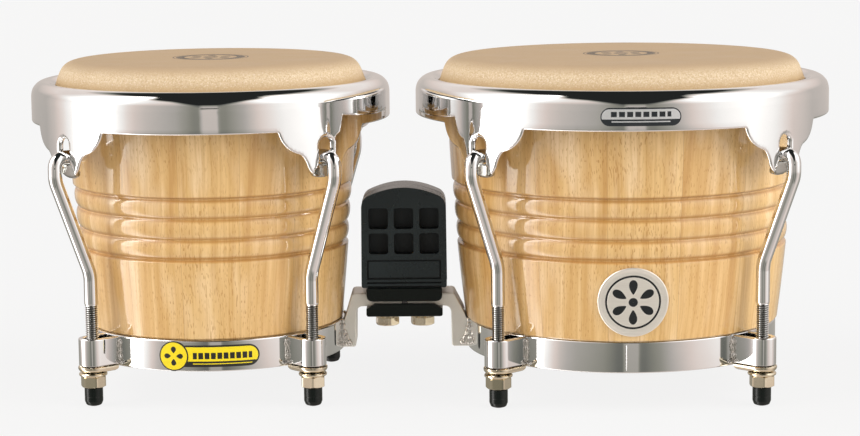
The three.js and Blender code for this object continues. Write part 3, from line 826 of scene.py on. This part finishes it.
def rim_form(drum):
    """The pressed rim: four quarters with a claw each, and a rolled crown above them."""
    r = drum.rim
    quarter = pi / 4 * r
    half = claw_edge(drum)
    line = [Vector((-p.x, p.y)) for p in half[::-1]] + half[1:]
    lower = rounded_rows(line, SHEET / 2, closed=False)
    slot = rounded_rows(slot_loop(), SHEET / 2, side=-1)
    columns = ROUND // 4
    top = [Vector((quarter - 2 * quarter * i / columns, RIM_SHOULDER)) for i in range(columns + 1)]
    floor = inner_line(lower)
    rise = [floor[-1].lerp(top[0], i / 5) for i in range(1, 5)]
    fall = [top[-1].lerp(floor[0], i / 5) for i in range(1, 5)]

    def spacing(x, y):
        return 0.75 if abs(x) < 12 and y < SLOT_TOP + 3 else 2.4

    def place(x, z, dip, outside):
        radius = r - dip if outside else r - SHEET + dip
        return polar(radius - pressing(x, z), x / r, z)

    fill = filled(floor + rise + top + fall, [inner_line(slot)], spacing)
    form = at_each_lug(drum, [sheet_form([(lower, False), (slot, True)], fill, place)] * 4)
    outer, end, inner = [
        through([(r - inward, RIM_CREST - drop) for inward, drop in line]) for line in CROWN]
    crown = Form().turned([*outer, *end[1:], *inner[1:]], closed=False)
    return form.add(crown, Matrix.Rotation(drum.lugs[0] - pi / 4, 4, "Z"))


def hoop_form(drum):
    """The round steel hoop that the hide is lapped over."""
    return Form().turned(arc(drum.rim - HOOP_INSET, HOOP_HEIGHT, HOOP, 0, 360, 16)[:-1])


# ---- Rods, nuts and feet ----


def rod_form(drum):
    """A hook rod in its own plane: threaded foot, two bends, hook and chamfered end."""
    low, high = drum.bends
    length = THREAD["top"] - ROD_BOTTOM
    steps = ceil(length / THREAD["pitch"] * 8)
    path = [Vector((drum.rod, ROD_BOTTOM))]
    path += [Vector((drum.rod, ROD_BOTTOM + length * i / steps)) for i in range(steps)]
    path += dense(fillet([
        (drum.rod, THREAD["top"], 0), (drum.rod, low, 22), (drum.hook, high, 16),
        (drum.hook, HOOK_HEIGHT, 6.5), (drum.hook - HOOK_REACH, HOOK_HEIGHT, 0)], 9, False), 6, False)
    path += [path[-1], path[-1] + Vector((-0.01, 0))]
    last = len(path) - 1
    sides = 20
    rings = []
    for i, here in enumerate(path):
        along = (path[min(i + 2, last)] - path[max(i - 2, 0)]).normalized()
        across = Vector((along.y, -along.x))
        ring = []
        for j, angle in enumerate(turns(sides)):
            radius = ROD - 1 if i in (0, last) else ROD
            if here.y < THREAD["top"] and i > 1:
                turn = (here.y / THREAD["pitch"] - j / sides) % 1
                cut = THREAD["depth"] * (1 - abs(2 * turn - 1)) ** 0.8
                run_out = smooth((THREAD["top"] - here.y) / 2)
                radius = ROD + (THREAD["radius"] - cut - ROD) * run_out
            out = here + across * radius * cos(angle)
            ring.append((radius * sin(angle), -out.x, out.y))
        rings.append(ring)
    return Form().loft(rings)


def hex_rings(profile):
    """Rings of points for (radius, height, is the hexagon) rows."""
    rings = []
    for radius, height, hexed in profile:
        ring = []
        for angle in turns(72):
            folded = angle % (pi / 3) - pi / 6
            flat = HEX_FLATS / 2 / cos(folded)
            ring.append(polar(min(radius, flat) if hexed else radius, angle, height))
        rings.append(ring)
    return rings


def chamfered(low, high, both=True):
    """Rows for a hexagon with a 30 degree chamfer at its lower end, or at both ends."""
    slope = 1.73
    drops = [0.12 * i for i in range(7)]
    rows = [(HEX_FLATS / 2 - 0.35 + drop * slope, low + drop, True) for drop in drops]
    if not both:
        return [*rows, (rows[-1][0], high, True)]
    return rows + [(radius, low + high - height, True) for radius, height, _ in rows[::-1]]


def nut_form():
    """A hex nut with a flange that swells towards the saddle."""
    bore = ROD + 0.25
    flange = NUT_TOP - 2.1
    rows = [(bore, NUT_BOTTOM + 0.9, False), (bore + 0.9, NUT_BOTTOM, False)]
    rows += chamfered(NUT_BOTTOM, flange + 0.1)
    rows += [(6.5, flange - 0.1, False), (7.3, flange, False), (8.0, flange + 0.5, False),
             (8.2, flange + 1.1, False), (8.1, flange + 1.6, False), (7.6, NUT_TOP, False),
             (bore + 0.8, NUT_TOP, False), (bore, NUT_TOP - 0.8, False)]
    return Form().grid(hex_rings(rows), closed=True, wrap=True)


def bolt_form():
    """A hex bolt with a chamfered head, a dished end and a plain shank."""
    rows = [(5.4, BOLT_BOTTOM + 0.25, False), (5.6, BOLT_BOTTOM, False)]
    rows += chamfered(BOLT_BOTTOM, BOLT_HEAD_TOP, both=False)
    rows += [(ROD, BOLT_HEAD_TOP, False), (ROD, BOLT_TOP - 1, False), (ROD - 1, BOLT_TOP, False)]
    return Form().loft(hex_rings(rows))


def washer_form(bottom, top):
    """A lock washer with twisted outer teeth."""
    teeth, steps = 12, 10
    half = 0.45
    rows = []
    for i, angle in enumerate(turns(teeth * steps)):
        share = i % steps / steps - half
        tooth = 1 - smooth(abs(share) * 6 - 1.2)
        outer = 6.9 + 1.2 * tooth
        twist = share * 2.2 * tooth * (top - bottom - 2 * half)
        section = [(4.5, -half), (6.2, -half), (outer, twist - half), (outer, twist + half), (6.2, half),
                   (4.5, half)]
        rows.append([polar(radius, angle, min(max((bottom + top) / 2 + height, bottom), top))
                     for radius, height in section])
    return Form().grid(rows, closed=True, wrap=True)


def foot_form():
    """A rubber cap with a rounded end and a soft mould line."""
    r, bore, floor = FOOT_RADIUS, ROD + 0.2, ROD_BOTTOM - 0.2
    profile = fillet([(0, 0, 0), (2.2, 0, 1), (r - 0.9, 0.7, 1.6), (r, 3, 2), (r, 5.4, 0.3),
                      (r - 0.12, 5.6, 0.2), (r, 5.8, 0.3), (r, FOOT_TOP, 0.6), (bore, FOOT_TOP, 0.3),
                      (bore, floor, 0), (0, floor, 0)], closed=False)
    return Form().turned(profile, facets=40, closed=False)


# ---- Bottom rings and saddles ----


def strap(drum, radius, inner):
    """A lug's line in plan, outwards along -Y: in to `inner`, and round the rod."""
    halfway = (inner + drum.rod) / 2
    line = [Vector((-radius, -inner)), Vector((-radius, -halfway))]
    line += arc(0, -drum.rod, radius, 180, 360, 18)
    return [*line, Vector((radius, -halfway)), Vector((radius, -inner))]


def ring_form(drum):
    """The bottom ring, with its four U-shaped lugs."""
    r, wall = drum.ring, LUG["wall"]
    section = rectangle(r - RING_WALL, r, RING_BOTTOM, RING_TOP, 0.5, 0.9)
    cross = rectangle(-wall, 0, LUG["bottom"], LUG["top"], 0.8, 0.9)
    lines = [[(*p, height) for p in strap(drum, LUG["radius"] + offset, r - 1.2)] for offset, height in cross]
    lug = Form().loft(list(zip(*lines)))
    return Form().turned(section).add(at_each_lug(drum, [lug] * 4))


def weld_form(drum):
    """Rough beads where the lugs meet the ring, with a small nub at each lower end."""
    low, high = LUG["bottom"] + 1.2, LUG["top"] - 1.0
    forms = []
    for number in range(4):
        form = Form()
        for side in (-1, 1):
            across = side * (LUG["radius"] + 0.5)
            depth = -sqrt(drum.ring ** 2 - across ** 2) - 0.2
            path = []
            for height in (low + (high - low) * i / 21 for i in range(22)):
                sway = noise.noise(Vector((number * 7, side * 3, height * 0.4)))
                path.append(Vector((across + 0.5 * sway, depth, height)))
            seed = number * 11 + side + drum.x
            form.add(tube(path, 1.35, seed, 1.1))
            nub = [Vector((across + side * t, depth - 0.3, low + 0.6 - 0.5 * t)) for t in range(4)]
            form.add(tube(nub, 1.2, seed + 3, 0.8))
        forms.append(form)
    return at_each_lug(drum, forms)


def seam_bead(drum):
    """The butt joint of the bent ring, as a thin upright bead."""
    low, high = RING_BOTTOM + 1, RING_TOP - 1
    angle = RING_SEAM[drum.name] / drum.ring
    path = [polar(drum.ring - 0.1, angle, low + (high - low) * i / 12) for i in range(13)]
    return tube(path, 0.32, lumps=0.06)


def saddle_form(drum):
    """A pressed dish under a lug, convex below, with a turned-up edge."""
    low, high = SADDLE_BOTTOM, SADDLE_TOP
    inner = drum.ring + 0.5

    def level(offset, height):
        return [(*p, height) for p in strap(drum, SADDLE_RADIUS - offset, inner + offset)]

    def hole(height):
        axis = Vector((0, -drum.rod))
        rim = [axis + (p - axis).normalized() * (ROD + 0.6) for p in strap(drum, SADDLE_RADIUS, inner)]
        return [(*p, height) for p in rim]

    rows = [hole(low), level(2.8, low), level(1.7, low + 0.25), level(0.8, low + 0.8),
            level(0.25, low + 1.6), level(0, low + 2.4), level(0.1, high - 0.3), level(0.45, high),
            level(0.9, high - 0.2), level(1.15, high - 0.8), level(1.6, high - 1.5),
            level(2.6, high - 1.8), hole(high - 1.8)]
    return Form().grid(rows, closed=True, wrap=True)


# ---- Arms and centre block ----

BLOCK_LOW, BLOCK_HIGH = extent("block_body")
BLOCK_X = (BLOCK_LOW.x + BLOCK_HIGH.x) / 2
BLOCK_HALF = half_width("block_body")
BLOCK_DEPTH = BLOCK_HIGH.y - BLOCK_LOW.y
BLOCK_BOTTOM, BLOCK_TOP = BLOCK_LOW.z, BLOCK_HIGH.z
BLOCK_SIDE_TOP = BLOCK_TOP - 7.7
POCKET = {"columns": 3, "rows": 2, "half": 5.75, "height": 12.5, "pitch": 15, "depth": 7.5, "base": 80}
PANEL = {"bottom": 64.8, "top": 76.5, "half": 22, "depth": 1}
GROOVE_LINES = (59.9, 62.3)
LINE = {"wide": 1, "depth": 2.2}
TONGUE = {"bottom": 48.1, "top": 55.8, "half": 13, "end": 1.6}
PAD_BOTTOM, PAD_TOP = heights("block_pad")
PAD_HALF = half_width("block_pad")
CLAMP_BOTTOM = heights("clamp_plate")[0]
CLAMP_TOP = 50.1
CLAMP_HALF = half_width("clamp_plate")
MOULDED_EDGE = 0.45
PLATE_EDGE = 0.5
ARM_FOOT = 23.6
ARM_STEP = 41  # height up to which the arm lies against the ring
ARM_WALL = {"macho": 7, "hembra": 9.5}
ARM_BEND = {"macho": 30.7, "hembra": 28.9}
BOLT_SPACING = 10.55
BOLT_TURN = 0.22
BOLT_BOTTOM, BOLT_TOP = heights("hembra_bolt")
BOLT_HEAD_TOP = 39.4


def arm_form(drum):
    """A bent strap from the ring's side to its tongue under the block, x towards the drum."""
    far = abs(drum.x - BLOCK_X)
    ring = far - drum.ring
    inner = ring - ARM_WALL[drum.name]
    top, bottom = TONGUE["top"], TONGUE["bottom"]
    outline = fillet([
        (TONGUE["end"], top, 1), (TONGUE["end"], bottom, 1), (inner - 0.4, bottom, 4.5),
        (inner, ARM_FOOT, 1.8), (ring + 1.5, ARM_FOOT, 1), (ring + 1.5, 38, 1),
        (ring - 0.6, 41.5, 1), (ARM_BEND[drum.name] + 0.6, top, 2.6)], 5)
    form = prism(dense(outline, 4), TONGUE["half"], 0.6, slices=12)

    def clear(p):
        """The point kept clear of the ring below and of the shell above."""
        limit = drum.ring + 0.05 if p.z < ARM_STEP else drum.shell(p.z) + 1.0
        if hypot(far - p.x, p.y) >= limit:
            return p
        return Vector((far - sqrt(limit ** 2 - p.y ** 2), p.y, p.z))

    form.points = [clear(p) for p in form.points]
    return form


def arm_weld_form(drum):
    """Ragged weld beads down both edges of the arm's leg."""
    far = abs(drum.x - BLOCK_X)
    form = Form()
    for side in (-1, 1):
        for row in range(4):
            path = []
            for share in (i / 23 for i in range(24)):
                height = ARM_FOOT + 1.0 + (16.5 - 2.5 * row) * share
                sway = noise.noise(Vector((drum.x + 9 * row, side * 5, height * 0.35)))
                depth = side * (TONGUE["half"] + 0.3 + 0.4 * sway)
                reach = sqrt((drum.ring + 0.4) ** 2 - depth ** 2)
                fan = 1.6 * row * (1 - share)
                path.append(Vector((far - reach - fan, depth, height)))
            form.add(tube(path, 1.35, drum.x + side + 20 * row, 1.0))
    return form


def block_crest(half, rise, start, corner):
    """The right half of the block's top: from its side, over a shoulder, to the arch's middle."""
    low = BLOCK_SIDE_TOP + rise
    arch = bezier((half - 4, low), (0, 2 * BLOCK_TOP - low), (4 - half, low), 24)
    side = bezier((half + start, BLOCK_SIDE_TOP - 4), (half + corner, low - 2), arch[0], 6)
    return side[:-1] + arch[:13]


def block_mesh():
    """Moulded block: arched top, framed blank panel and cored pockets on the front and back."""
    half, face = BLOCK_HALF, BLOCK_DEPTH / 2
    wide, low, high = PANEL["half"], PANEL["bottom"], PANEL["top"]
    outline = both_sides([
        Vector((half - 2.2, BLOCK_BOTTOM)),
        *bezier((half - 1.4, BLOCK_BOTTOM), (half, BLOCK_BOTTOM), (half, BLOCK_BOTTOM + 2), 4),
        Vector((half, BLOCK_BOTTOM + 6)), *block_crest(half, 2.6, -0.3, -0.6)])
    shapes = [(rectangle(-wide, wide, low, high, 1.5, 1.5), PANEL["depth"])]
    lines = [(-wide, wide, z, z + LINE["wide"]) for z in (*GROOVE_LINES, low, high - LINE["wide"])]
    lines += [(-wide, LINE["wide"] - wide, low, high), (wide - LINE["wide"], wide, low, high)]
    shapes += [(rectangle(*line), LINE["depth"]) for line in lines]
    for row in range(POCKET["rows"]):
        for column in range(POCKET["columns"]):
            x = (column - (POCKET["columns"] - 1) / 2) * POCKET["pitch"]
            z = POCKET["base"] + row * POCKET["pitch"]
            pocket = rectangle(x - POCKET["half"], x + POCKET["half"], z, z + POCKET["height"], 2, 2)
            shapes.append((pocket, POCKET["depth"]))
    cutters = Form()
    for shape, depth in shapes:
        cutters.extruded(shape, -face - 1, -face + depth)
        cutters.extruded(shape, face - depth, face + 1)
    return carved("block_moulded", outline, BLOCK_DEPTH, cutters, MOULDED_EDGE)


def seam_form():
    """The thin parting line over the block's sides and top, as a low ridge."""
    half = BLOCK_HALF - 0.2
    line = [Vector((half + 0.35, BLOCK_BOTTOM + 2)), *block_crest(half, 2.8, 0.05, -0.3)]
    return Form().extruded(both_sides(line), -0.35, 0.35)


def channel_mesh(name, outline, low, high):
    """A plate or pad with a channel for the arms' tongues between its front and back lips."""
    reach = TONGUE["half"] + GAP
    cutter = Form().loft([[(-40, -reach, z), (40, -reach, z), (40, reach, z), (-40, reach, z)]
                          for z in (low, high)])
    return carved(name, outline, BLOCK_DEPTH, cutter, PLATE_EDGE)


def pad_mesh():
    outline = fillet([(-PAD_HALF, PAD_BOTTOM, 4), (PAD_HALF, PAD_BOTTOM, 4), (PAD_HALF, PAD_TOP, 0.8),
                      (-PAD_HALF, PAD_TOP, 0.8)])
    return channel_mesh("pad_moulded", outline, 0, TONGUE["top"] + GAP)


def clamp_mesh():
    half, top = CLAMP_HALF, CLAMP_TOP
    outline = fillet([(-half, CLAMP_BOTTOM, 1.5), (half, CLAMP_BOTTOM, 1.5), (half, top - 3, 0.8),
                      (half - 5, top, 0.8), (5 - half, top, 0.8), (-half, top - 3, 0.8)])
    return channel_mesh("clamp_pressed", outline, TONGUE["bottom"] - GAP, 100)


# ---- Badge and labels ----

BADGE_RADIUS = half_width("badge")
BADGE_MIDDLE = sum(heights("badge")) / 2
RING_LABEL = {"angle": radians(2.2), "middle": 31.5, "left": -20.8, "round": 8.7,
              "start": -14.5, "end": 29, "half": 6.25}
RIM_LABEL = {"angle": radians(1.0), "middle": 170.8, "half": 5, "straight": 17.2}
FILM = 0.5


def badge_form(drum):
    """A disc that follows the shell, with a rolled edge and a shallow well."""
    edge = BADGE_RADIUS
    profile = [(0, 0.62), (4, 0.62), (8, 0.62), (12, 0.62), (15.5, 0.62), (17.3, 0.60), (17.9, 0.72),
               (18.3, 0.98), (18.8, 1.17), (19.2, 1.2), (19.6, 1.1), (edge, 0.8), (edge, 0.2),
               (edge - 0.5, 0), (12, 0), (0, 0)]
    rows = []
    for angle in turns(96):
        row = []
        for reach, lift in profile:
            height = BADGE_MIDDLE + reach * cos(angle)
            surface = drum.shell(min(max(height, RING_TOP), GROOVES[0] - 2)) + 0.4 + lift
            row.append(polar(surface, reach * sin(angle) / drum.shell(BADGE_MIDDLE), height))
        rows.append(row)
    return Form().grid(rows, closed=True)


def label_form(outline, radius):
    """A film cut to an outline (along, height) and laid round a drum at a radius."""
    rows = rounded_rows(dense(outline, 1.2), FILM / 2)

    def place(x, z, dip, outside):
        return polar(radius + (FILM - dip if outside else dip), x / radius, z)

    return sheet_form([(rows, True)], filled(inner_line(rows), [], lambda x, y: 2.0), place)


def ring_label_form():
    size = RING_LABEL
    middle, half = size["middle"], size["half"]
    outline = [Vector((size["start"], middle - half)), *arc(size["end"] - half, middle, half, -90, 90, 14),
               Vector((size["start"], middle + half)), *arc(size["left"], middle, size["round"], 45, 315, 36)]
    return label_form(outline, MACHO.ring + 0.05)


def rim_label_form():
    middle, half, straight = (RIM_LABEL[key] for key in ("middle", "half", "straight"))
    outline = arc(straight, middle, half, -90, 90, 16) + arc(-straight, middle, half, 90, 270, 16)
    return label_form(outline, HEMBRA.rim + 0.05)


def badge_paint(drum):
    """Warm satin steel with a black enamel rosette and ring."""
    paint = Paint("badge_steel")
    along, up = paint.on_drum(drum, 0.0, drum.shell(BADGE_MIDDLE), BADGE_MIDDLE)
    radius, petals = rosette(along, up, 6, 4.4, 13.0)
    black = petals.most(radius.within((0, 2.6), (14.4, 15.6), soft=0.12))
    stretched = paint.out("Mapping", {"Vector": paint.place, "Scale": (60, 60, 1400)})
    brushed = paint.noise(1.0, 3.0, stretched)
    steel = paint.blend(brushed, (0.74, 0.69, 0.61), (0.84, 0.79, 0.71))
    return paint.made(paint.blend(black, steel, (0.012, 0.014, 0.015)), black.ranged(0.0, 1.0, 0.3, 0.26),
                      brushed * 0.04 - black, 0.15, Metallic=black.ranged(0.0, 1.0, 0.5, 0.0))


def round_ended(along, up, straight):
    """Distance, in metres, from a level line that ends `straight` millimetres to each side."""
    over = (abs(along) - straight * MM).most(0.0)
    return (over * over + up * up).root()


def blocks(along, pitch, gap):
    """1 over each of a row of blocks, 0 in the gap before each."""
    return (along / (pitch * MM)).fraction().ranged(gap, gap + 0.04)


def ring_label_paint(drum):
    """Yellow and black printed film: a disc with a plain emblem, and a bar of blocks."""
    size = RING_LABEL
    paint = Paint("yellow_label", **{"Coat Weight": 0.2, "Coat Roughness": 0.15})
    along, up = paint.on_drum(drum, size["angle"], drum.ring + GAP, size["middle"])
    radius, petals = rosette(along - size["left"] * MM, up, 4, 1.6, 5.6)
    disc = radius.ranged(size["round"] * MM, (size["round"] + 0.1) * MM, 1.0, 0.0)
    on_disc = petals.most(radius.within((7.9, 9.5), soft=0.12))
    reach = round_ended(along, up, size["end"] - size["half"])
    border = reach.ranged((size["half"] - 1.0) * MM, (size["half"] - 0.85) * MM)
    middle = along.within((-9.5, 24.5))
    row = up.within((-1.6, 2.1)) * blocks(along, 3.6, 0.22) * middle
    foot = up.within((-6, -2.9)) - up.within((-4.6, -4.1)) * middle
    black = paint.choose(disc, border.most(row.most(foot)), on_disc)
    ink = paint.noise(300.0, 3.0)
    yellow = paint.blend(ink, (0.80, 0.62, 0.002), (0.86, 0.68, 0.004))
    colour = paint.blend(black, yellow, (0.016, 0.017, 0.014))
    return paint.made(colour, ink.ranged(0.3, 0.7, 0.28, 0.38), ink, 0.02)


def rim_label_paint(drum):
    """Black and silver printed film with a plain pattern of bars."""
    size = RIM_LABEL
    paint = Paint("black_label", **{"Coat Weight": 0.3, "Coat Roughness": 0.1})
    along, up = paint.on_drum(drum, size["angle"], drum.rim + GAP, size["middle"])
    within = round_ended(along, up, size["straight"]).ranged(4.2 * MM, 4.35 * MM, 1.0, 0.0)
    row = up.within((0.0, 2.9)) * blocks(along, 4.4, 0.24) * along.within((-17, 16.5))
    field = within * up.ranged(-1.35 * MM, -1.2 * MM) - row
    silver = field.most(up.within((-2.9, -2.3)) * along.within((-16, 16)))
    ink = paint.noise(300.0, 3.0)
    foil = paint.blend(ink, (0.72, 0.74, 0.75), (0.84, 0.85, 0.86))
    return paint.made(paint.blend(silver, (0.012, 0.016, 0.020), foil), silver.ranged(0.0, 1.0, 0.22, 0.3),
                      ink, 0.02, Metallic=silver * 0.7)


# ---- Camera, floor and light ----

CAMERA_PLACE = Vector((9.025, -1429.47, 302.55))
PITCH, YAW, ROLL = radians(8.102), radians(-0.383), radians(-0.57)
FLOOR_RADIUS = 15000


def photo_camera():
    """The camera at the photograph's viewing angle: pitch down, yaw towards +X, and roll."""
    heading = Vector((sin(YAW), cos(YAW), 0))
    forward = heading * cos(PITCH) - Vector((0, 0, sin(PITCH)))
    level = Vector((cos(YAW), -sin(YAW), 0))
    upright = level.cross(forward)
    right = level * cos(ROLL) + upright * sin(ROLL)
    up = upright * cos(ROLL) - level * sin(ROLL)
    data = bpy.data.cameras.new("camera")
    data.sensor_width = 36
    data.lens = 101.1
    data.clip_start, data.clip_end = 0.05, 60
    camera = linked("camera", data)
    facing = Matrix((right, up, -forward)).transposed().to_4x4()
    camera.matrix_world = Matrix.Translation(CAMERA_PLACE * MM) @ facing
    bpy.context.scene.camera = camera


def world_light():
    """Two tall soft boxes under a dark ceiling, all as light by direction."""
    world = bpy.data.worlds.new("studio")
    bpy.context.scene.world = world
    tree = Nodes(world)
    across, depth, up = tree.split(tree.out("TexCoord", output="Generated"))
    azimuth = across.direction(-depth).ranged(-pi, pi)
    elevation = up.arcsine().ranged(-pi / 2, pi / 2, -90.0, 90.0)

    def by_azimuth(stops):
        return tree.ramp(azimuth, [((degrees + 180) / 360, value) for degrees, value in stops])

    # What shiny surfaces mirror, what lights the rest, and how high the ceiling starts, out of 90
    mirrored = by_azimuth([
        (-180, 0.14), (-150, 0.12), (-124, 0.115), (-113, 0.145), (-103, 0.20), (-93, 0.29), (-84, 1.0),
        (-70, 1.0), (-62, 0.4), (-55, 0.27), (-49, 0.20), (-44, 0.165), (-36, 0.137), (-17, 0.102),
        (-6, 0.058), (-2, 0.058), (-1, 0.142), (9, 0.142), (10, 0.062), (14, 0.062), (25, 0.105),
        (36, 0.18), (52, 0.26), (72, 0.32), (88, 0.26), (104, 0.17), (125, 0.125), (180, 0.14)])
    lighting = by_azimuth([
        (-180, 0.13), (-125, 0.13), (-108, 0.22), (-94, 0.9), (-84, 1.0), (-62, 1.0), (-48, 0.4),
        (-30, 0.19), (-4, 0.15), (10, 0.15), (27, 0.22), (40, 0.7), (48, 1.0), (84, 1.0), (100, 0.6),
        (118, 0.15), (180, 0.13)])
    ceiling = by_azimuth([
        (-180, 0.42), (-145, 0.48), (-114, 0.60), (-80, 0.70), (-60, 0.66), (-24, 0.38), (-3, 0.09),
        (9, 0.09), (30, 0.38), (60, 0.66), (86, 0.70), (120, 0.60), (151, 0.48), (180, 0.42)])
    dark = (elevation - ceiling * 90.0).ranged(-3.0, 8.0)
    near_floor = elevation.ranged(-13.0, -5.0, 0.6, 1.0)
    high_up = elevation.ranged(10.0, 28.0, 1.0, 1.6)
    underneath = elevation.ranged(-45.0, -25.0, 0.155, 0.0)
    bar_sides = abs(azimuth - (0.5 + 4 / 360)).ranged(0.014, 0.017, 1.0, 0.0)
    bar = bar_sides * elevation.ranged(-3.5, -2.5) * elevation.ranged(1.5, 2.5, 1.0, 0.0)
    boxes = mirrored * mirrored.ranged(0.4, 1.0, 1.0, 1.7)
    mirrored = (boxes * near_floor * high_up).most(underneath) * bar.ranged(0.0, 1.0, 1.0, 0.1)
    paths = tree.add("LightPath").outputs
    share = tree.choose(Value(tree, paths["Is Glossy Ray"]), lighting, mirrored)
    light = share * 4.2 * dark.ranged(0.0, 1.0, 1.0, 0.0) + dark * 0.02
    tint = tree.ramp(light, [
        (0.0, (0.80, 0.90, 0.88)), (0.03, (0.86, 0.90, 0.86)), (0.25, (0.94, 0.92, 0.78)),
        (0.45, (0.945, 0.88, 0.815)), (0.7, (1.0, 0.86, 0.79)), (1.0, (0.91, 0.88, 0.85))])
    lit = tree.out("VectorMath", {0: tint, "Scale": light * 1.136}, operation="SCALE")
    shown = tree.blend(Value(tree, paths["Is Camera Ray"]), lit, (0.93, 0.93, 0.93))
    background = tree.out("Background", {"Color": shown, "Strength": 1.0})
    tree.add("OutputWorld", {"Surface": background})


def floor():
    """A wide pale floor that glows evenly and isn't mirrored."""
    paint = Paint("floor", **{
        "Specular IOR Level": 0.0, "Emission Color": (1, 1, 1), "Emission Strength": 0.86})
    colour = paint.blend(paint.noise(0.8, 2.0), (0.05, 0.05, 0.05), (0.055, 0.055, 0.055))
    paint.set(paint.shader.inputs["Base Color"], colour)
    paint.set(paint.shader.inputs["Roughness"], paint.noise(2.0).ranged(0.0, 1.0, 0.85, 0.95))
    disc = Form().triangles([polar(FLOOR_RADIUS, angle, 0) for angle in turns(96)], [range(96)])
    obj = linked("floor", disc.mesh("floor"))
    obj.data.materials.append(paint.material)
    obj.visible_glossy = False


# ---- Assembly ----


def in_claw(drum):
    """Whether a point of the rim is inside a claw's channel or slot, where shade is painted."""
    def chosen(p):
        sunk = drum.rim - hypot(p.x - drum.x, p.y)
        channel = SHEET + 0.3 < sunk < 2 * SHEET + 2 and p.z < SLOT_BOTTOM + 2
        return channel or 1.2 < sunk <= SHEET and p.z < SLOT_BOTTOM
    return chosen


def in_thread(axis):
    """Whether a point of a rod is in the root of its thread, where shade is painted."""
    def chosen(p):
        deep = THREAD["radius"] - hypot(p.x - axis.x, p.y - axis.y)
        return deep > 0.5 * THREAD["depth"] and ROD_BOTTOM + 1 < p.z < THREAD["top"]
    return chosen


def drum_pieces(drum):
    """All pieces of a drum, with its arm and bolt."""
    name = drum.name
    moving = f"{name}_tuning_set"

    def part(kind, shape, place, material, slot, node=None, **others):
        replaced = [f"{name}_{node}"] if node else []
        return piece(f"{name}_{kind}", shape, place, material, slot, replaced, **others)

    place = drum.turn()
    part("shell_turned", shell_form(drum), place, wood(drum), "shell_wood", "shell")
    part("head_hide", head_form(drum), place, hide(drum), "hide", "head")
    rim = part("rim_pressed", rim_form(drum), place, CHROME, "chrome", "rim", body=moving, crease=50)
    # Painted shade: the claws' channels get the darker chrome.
    second_material(rim, SHADED_CHROME, in_claw(drum))
    part("hoop_round", hoop_form(drum), place, CHROME, "chrome", "flesh_hoop", body=moving)
    part("ring_rolled", ring_form(drum), place, CHROME, "chrome", "bottom_ring")
    part("ring_welds", weld_form(drum), place, WELD, "chrome", crease=180)
    part("ring_seam", seam_bead(drum), place, CHROME, "chrome")
    for number, angle in enumerate(drum.lugs, start=1):
        place = drum.turn(angle)
        at_rod = place @ Matrix.Translation((0, -drum.rod, 0))
        at_nut = at_rod @ Matrix.Rotation(0.1 * number - angle, 4, "Z")
        rod, nut = f"rod_{number}", f"nut_{number}"
        threaded = part(f"{rod}_threaded", rod_form(drum), place, CHROME, "chrome", rod, body=moving)
        # Painted shade: the thread's roots get the darker chrome.
        second_material(threaded, SHADED_THREAD_ROOT, in_thread(at_rod.translation))
        part(f"foot_{number}_cap", foot_form(), at_rod, RUBBER, "rubber", f"foot_{number}", body=moving)
        part(f"{nut}_flanged", nut_form(), at_nut, NICKEL, "nickel", nut, body=f"{name}_{nut}", crease=28)
        part(f"saddle_{number}_dished", saddle_form(drum), place, NICKEL, "nickel", f"saddle_{number}")
    turn = pi if drum.x < BLOCK_X else 0.0
    place = Matrix.Translation((BLOCK_X, 0, 0)) @ Matrix.Rotation(turn, 4, "Z")
    at_bolt = place @ Matrix.Translation((BOLT_SPACING, 0, 0)) @ Matrix.Rotation(BOLT_TURN, 4, "Z")
    washer = washer_form(*heights(f"{name}_lock_washer"))
    part("arm_strap", arm_form(drum), place, ZINC, "zinc_plate", "arm")
    part("arm_welds", arm_weld_form(drum), place, WELD, "zinc_plate", crease=180)
    part("bolt_hex", bolt_form(), at_bolt, NICKEL, "nickel", "bolt", crease=28)
    part("washer_toothed", washer, at_bolt, NICKEL, "nickel", "lock_washer")
    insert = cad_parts[f"{name}_threaded_insert"].data
    insert.materials.clear()
    insert.materials.append(BRASS)


def block_pieces():
    paint = block_paint()
    place = Matrix.Translation((BLOCK_X, 0, 0))
    piece("block_moulded", block_mesh(), place, paint, "black_plastic", ["block_body"])
    piece("block_parting_line", seam_form(), place, paint, "black_plastic")
    piece("pad_moulded", pad_mesh(), place, RUBBER, "rubber", ["block_pad"])
    piece("clamp_pressed", clamp_mesh(), place, PAINTED, "black_paint", ["clamp_plate"])


def marks():
    """The badge and the two printed films, all without lettering."""
    piece("badge_disc", badge_form(HEMBRA), HEMBRA.turn(), badge_paint(HEMBRA), "badge_steel", ["badge"])
    piece("ring_label", ring_label_form(), MACHO.turn(RING_LABEL["angle"]), ring_label_paint(MACHO),
          "yellow_label", ["ring_sticker"])
    piece("rim_label", rim_label_form(), HEMBRA.turn(RIM_LABEL["angle"]), rim_label_paint(HEMBRA),
          "black_label", ["rim_sticker"], "hembra_tuning_set")


photo_camera()
world_light()
floor()
drum_pieces(MACHO)
drum_pieces(HEMBRA)
block_pieces()
marks()
bpy.context.scene.view_settings.view_transform = "Standard"
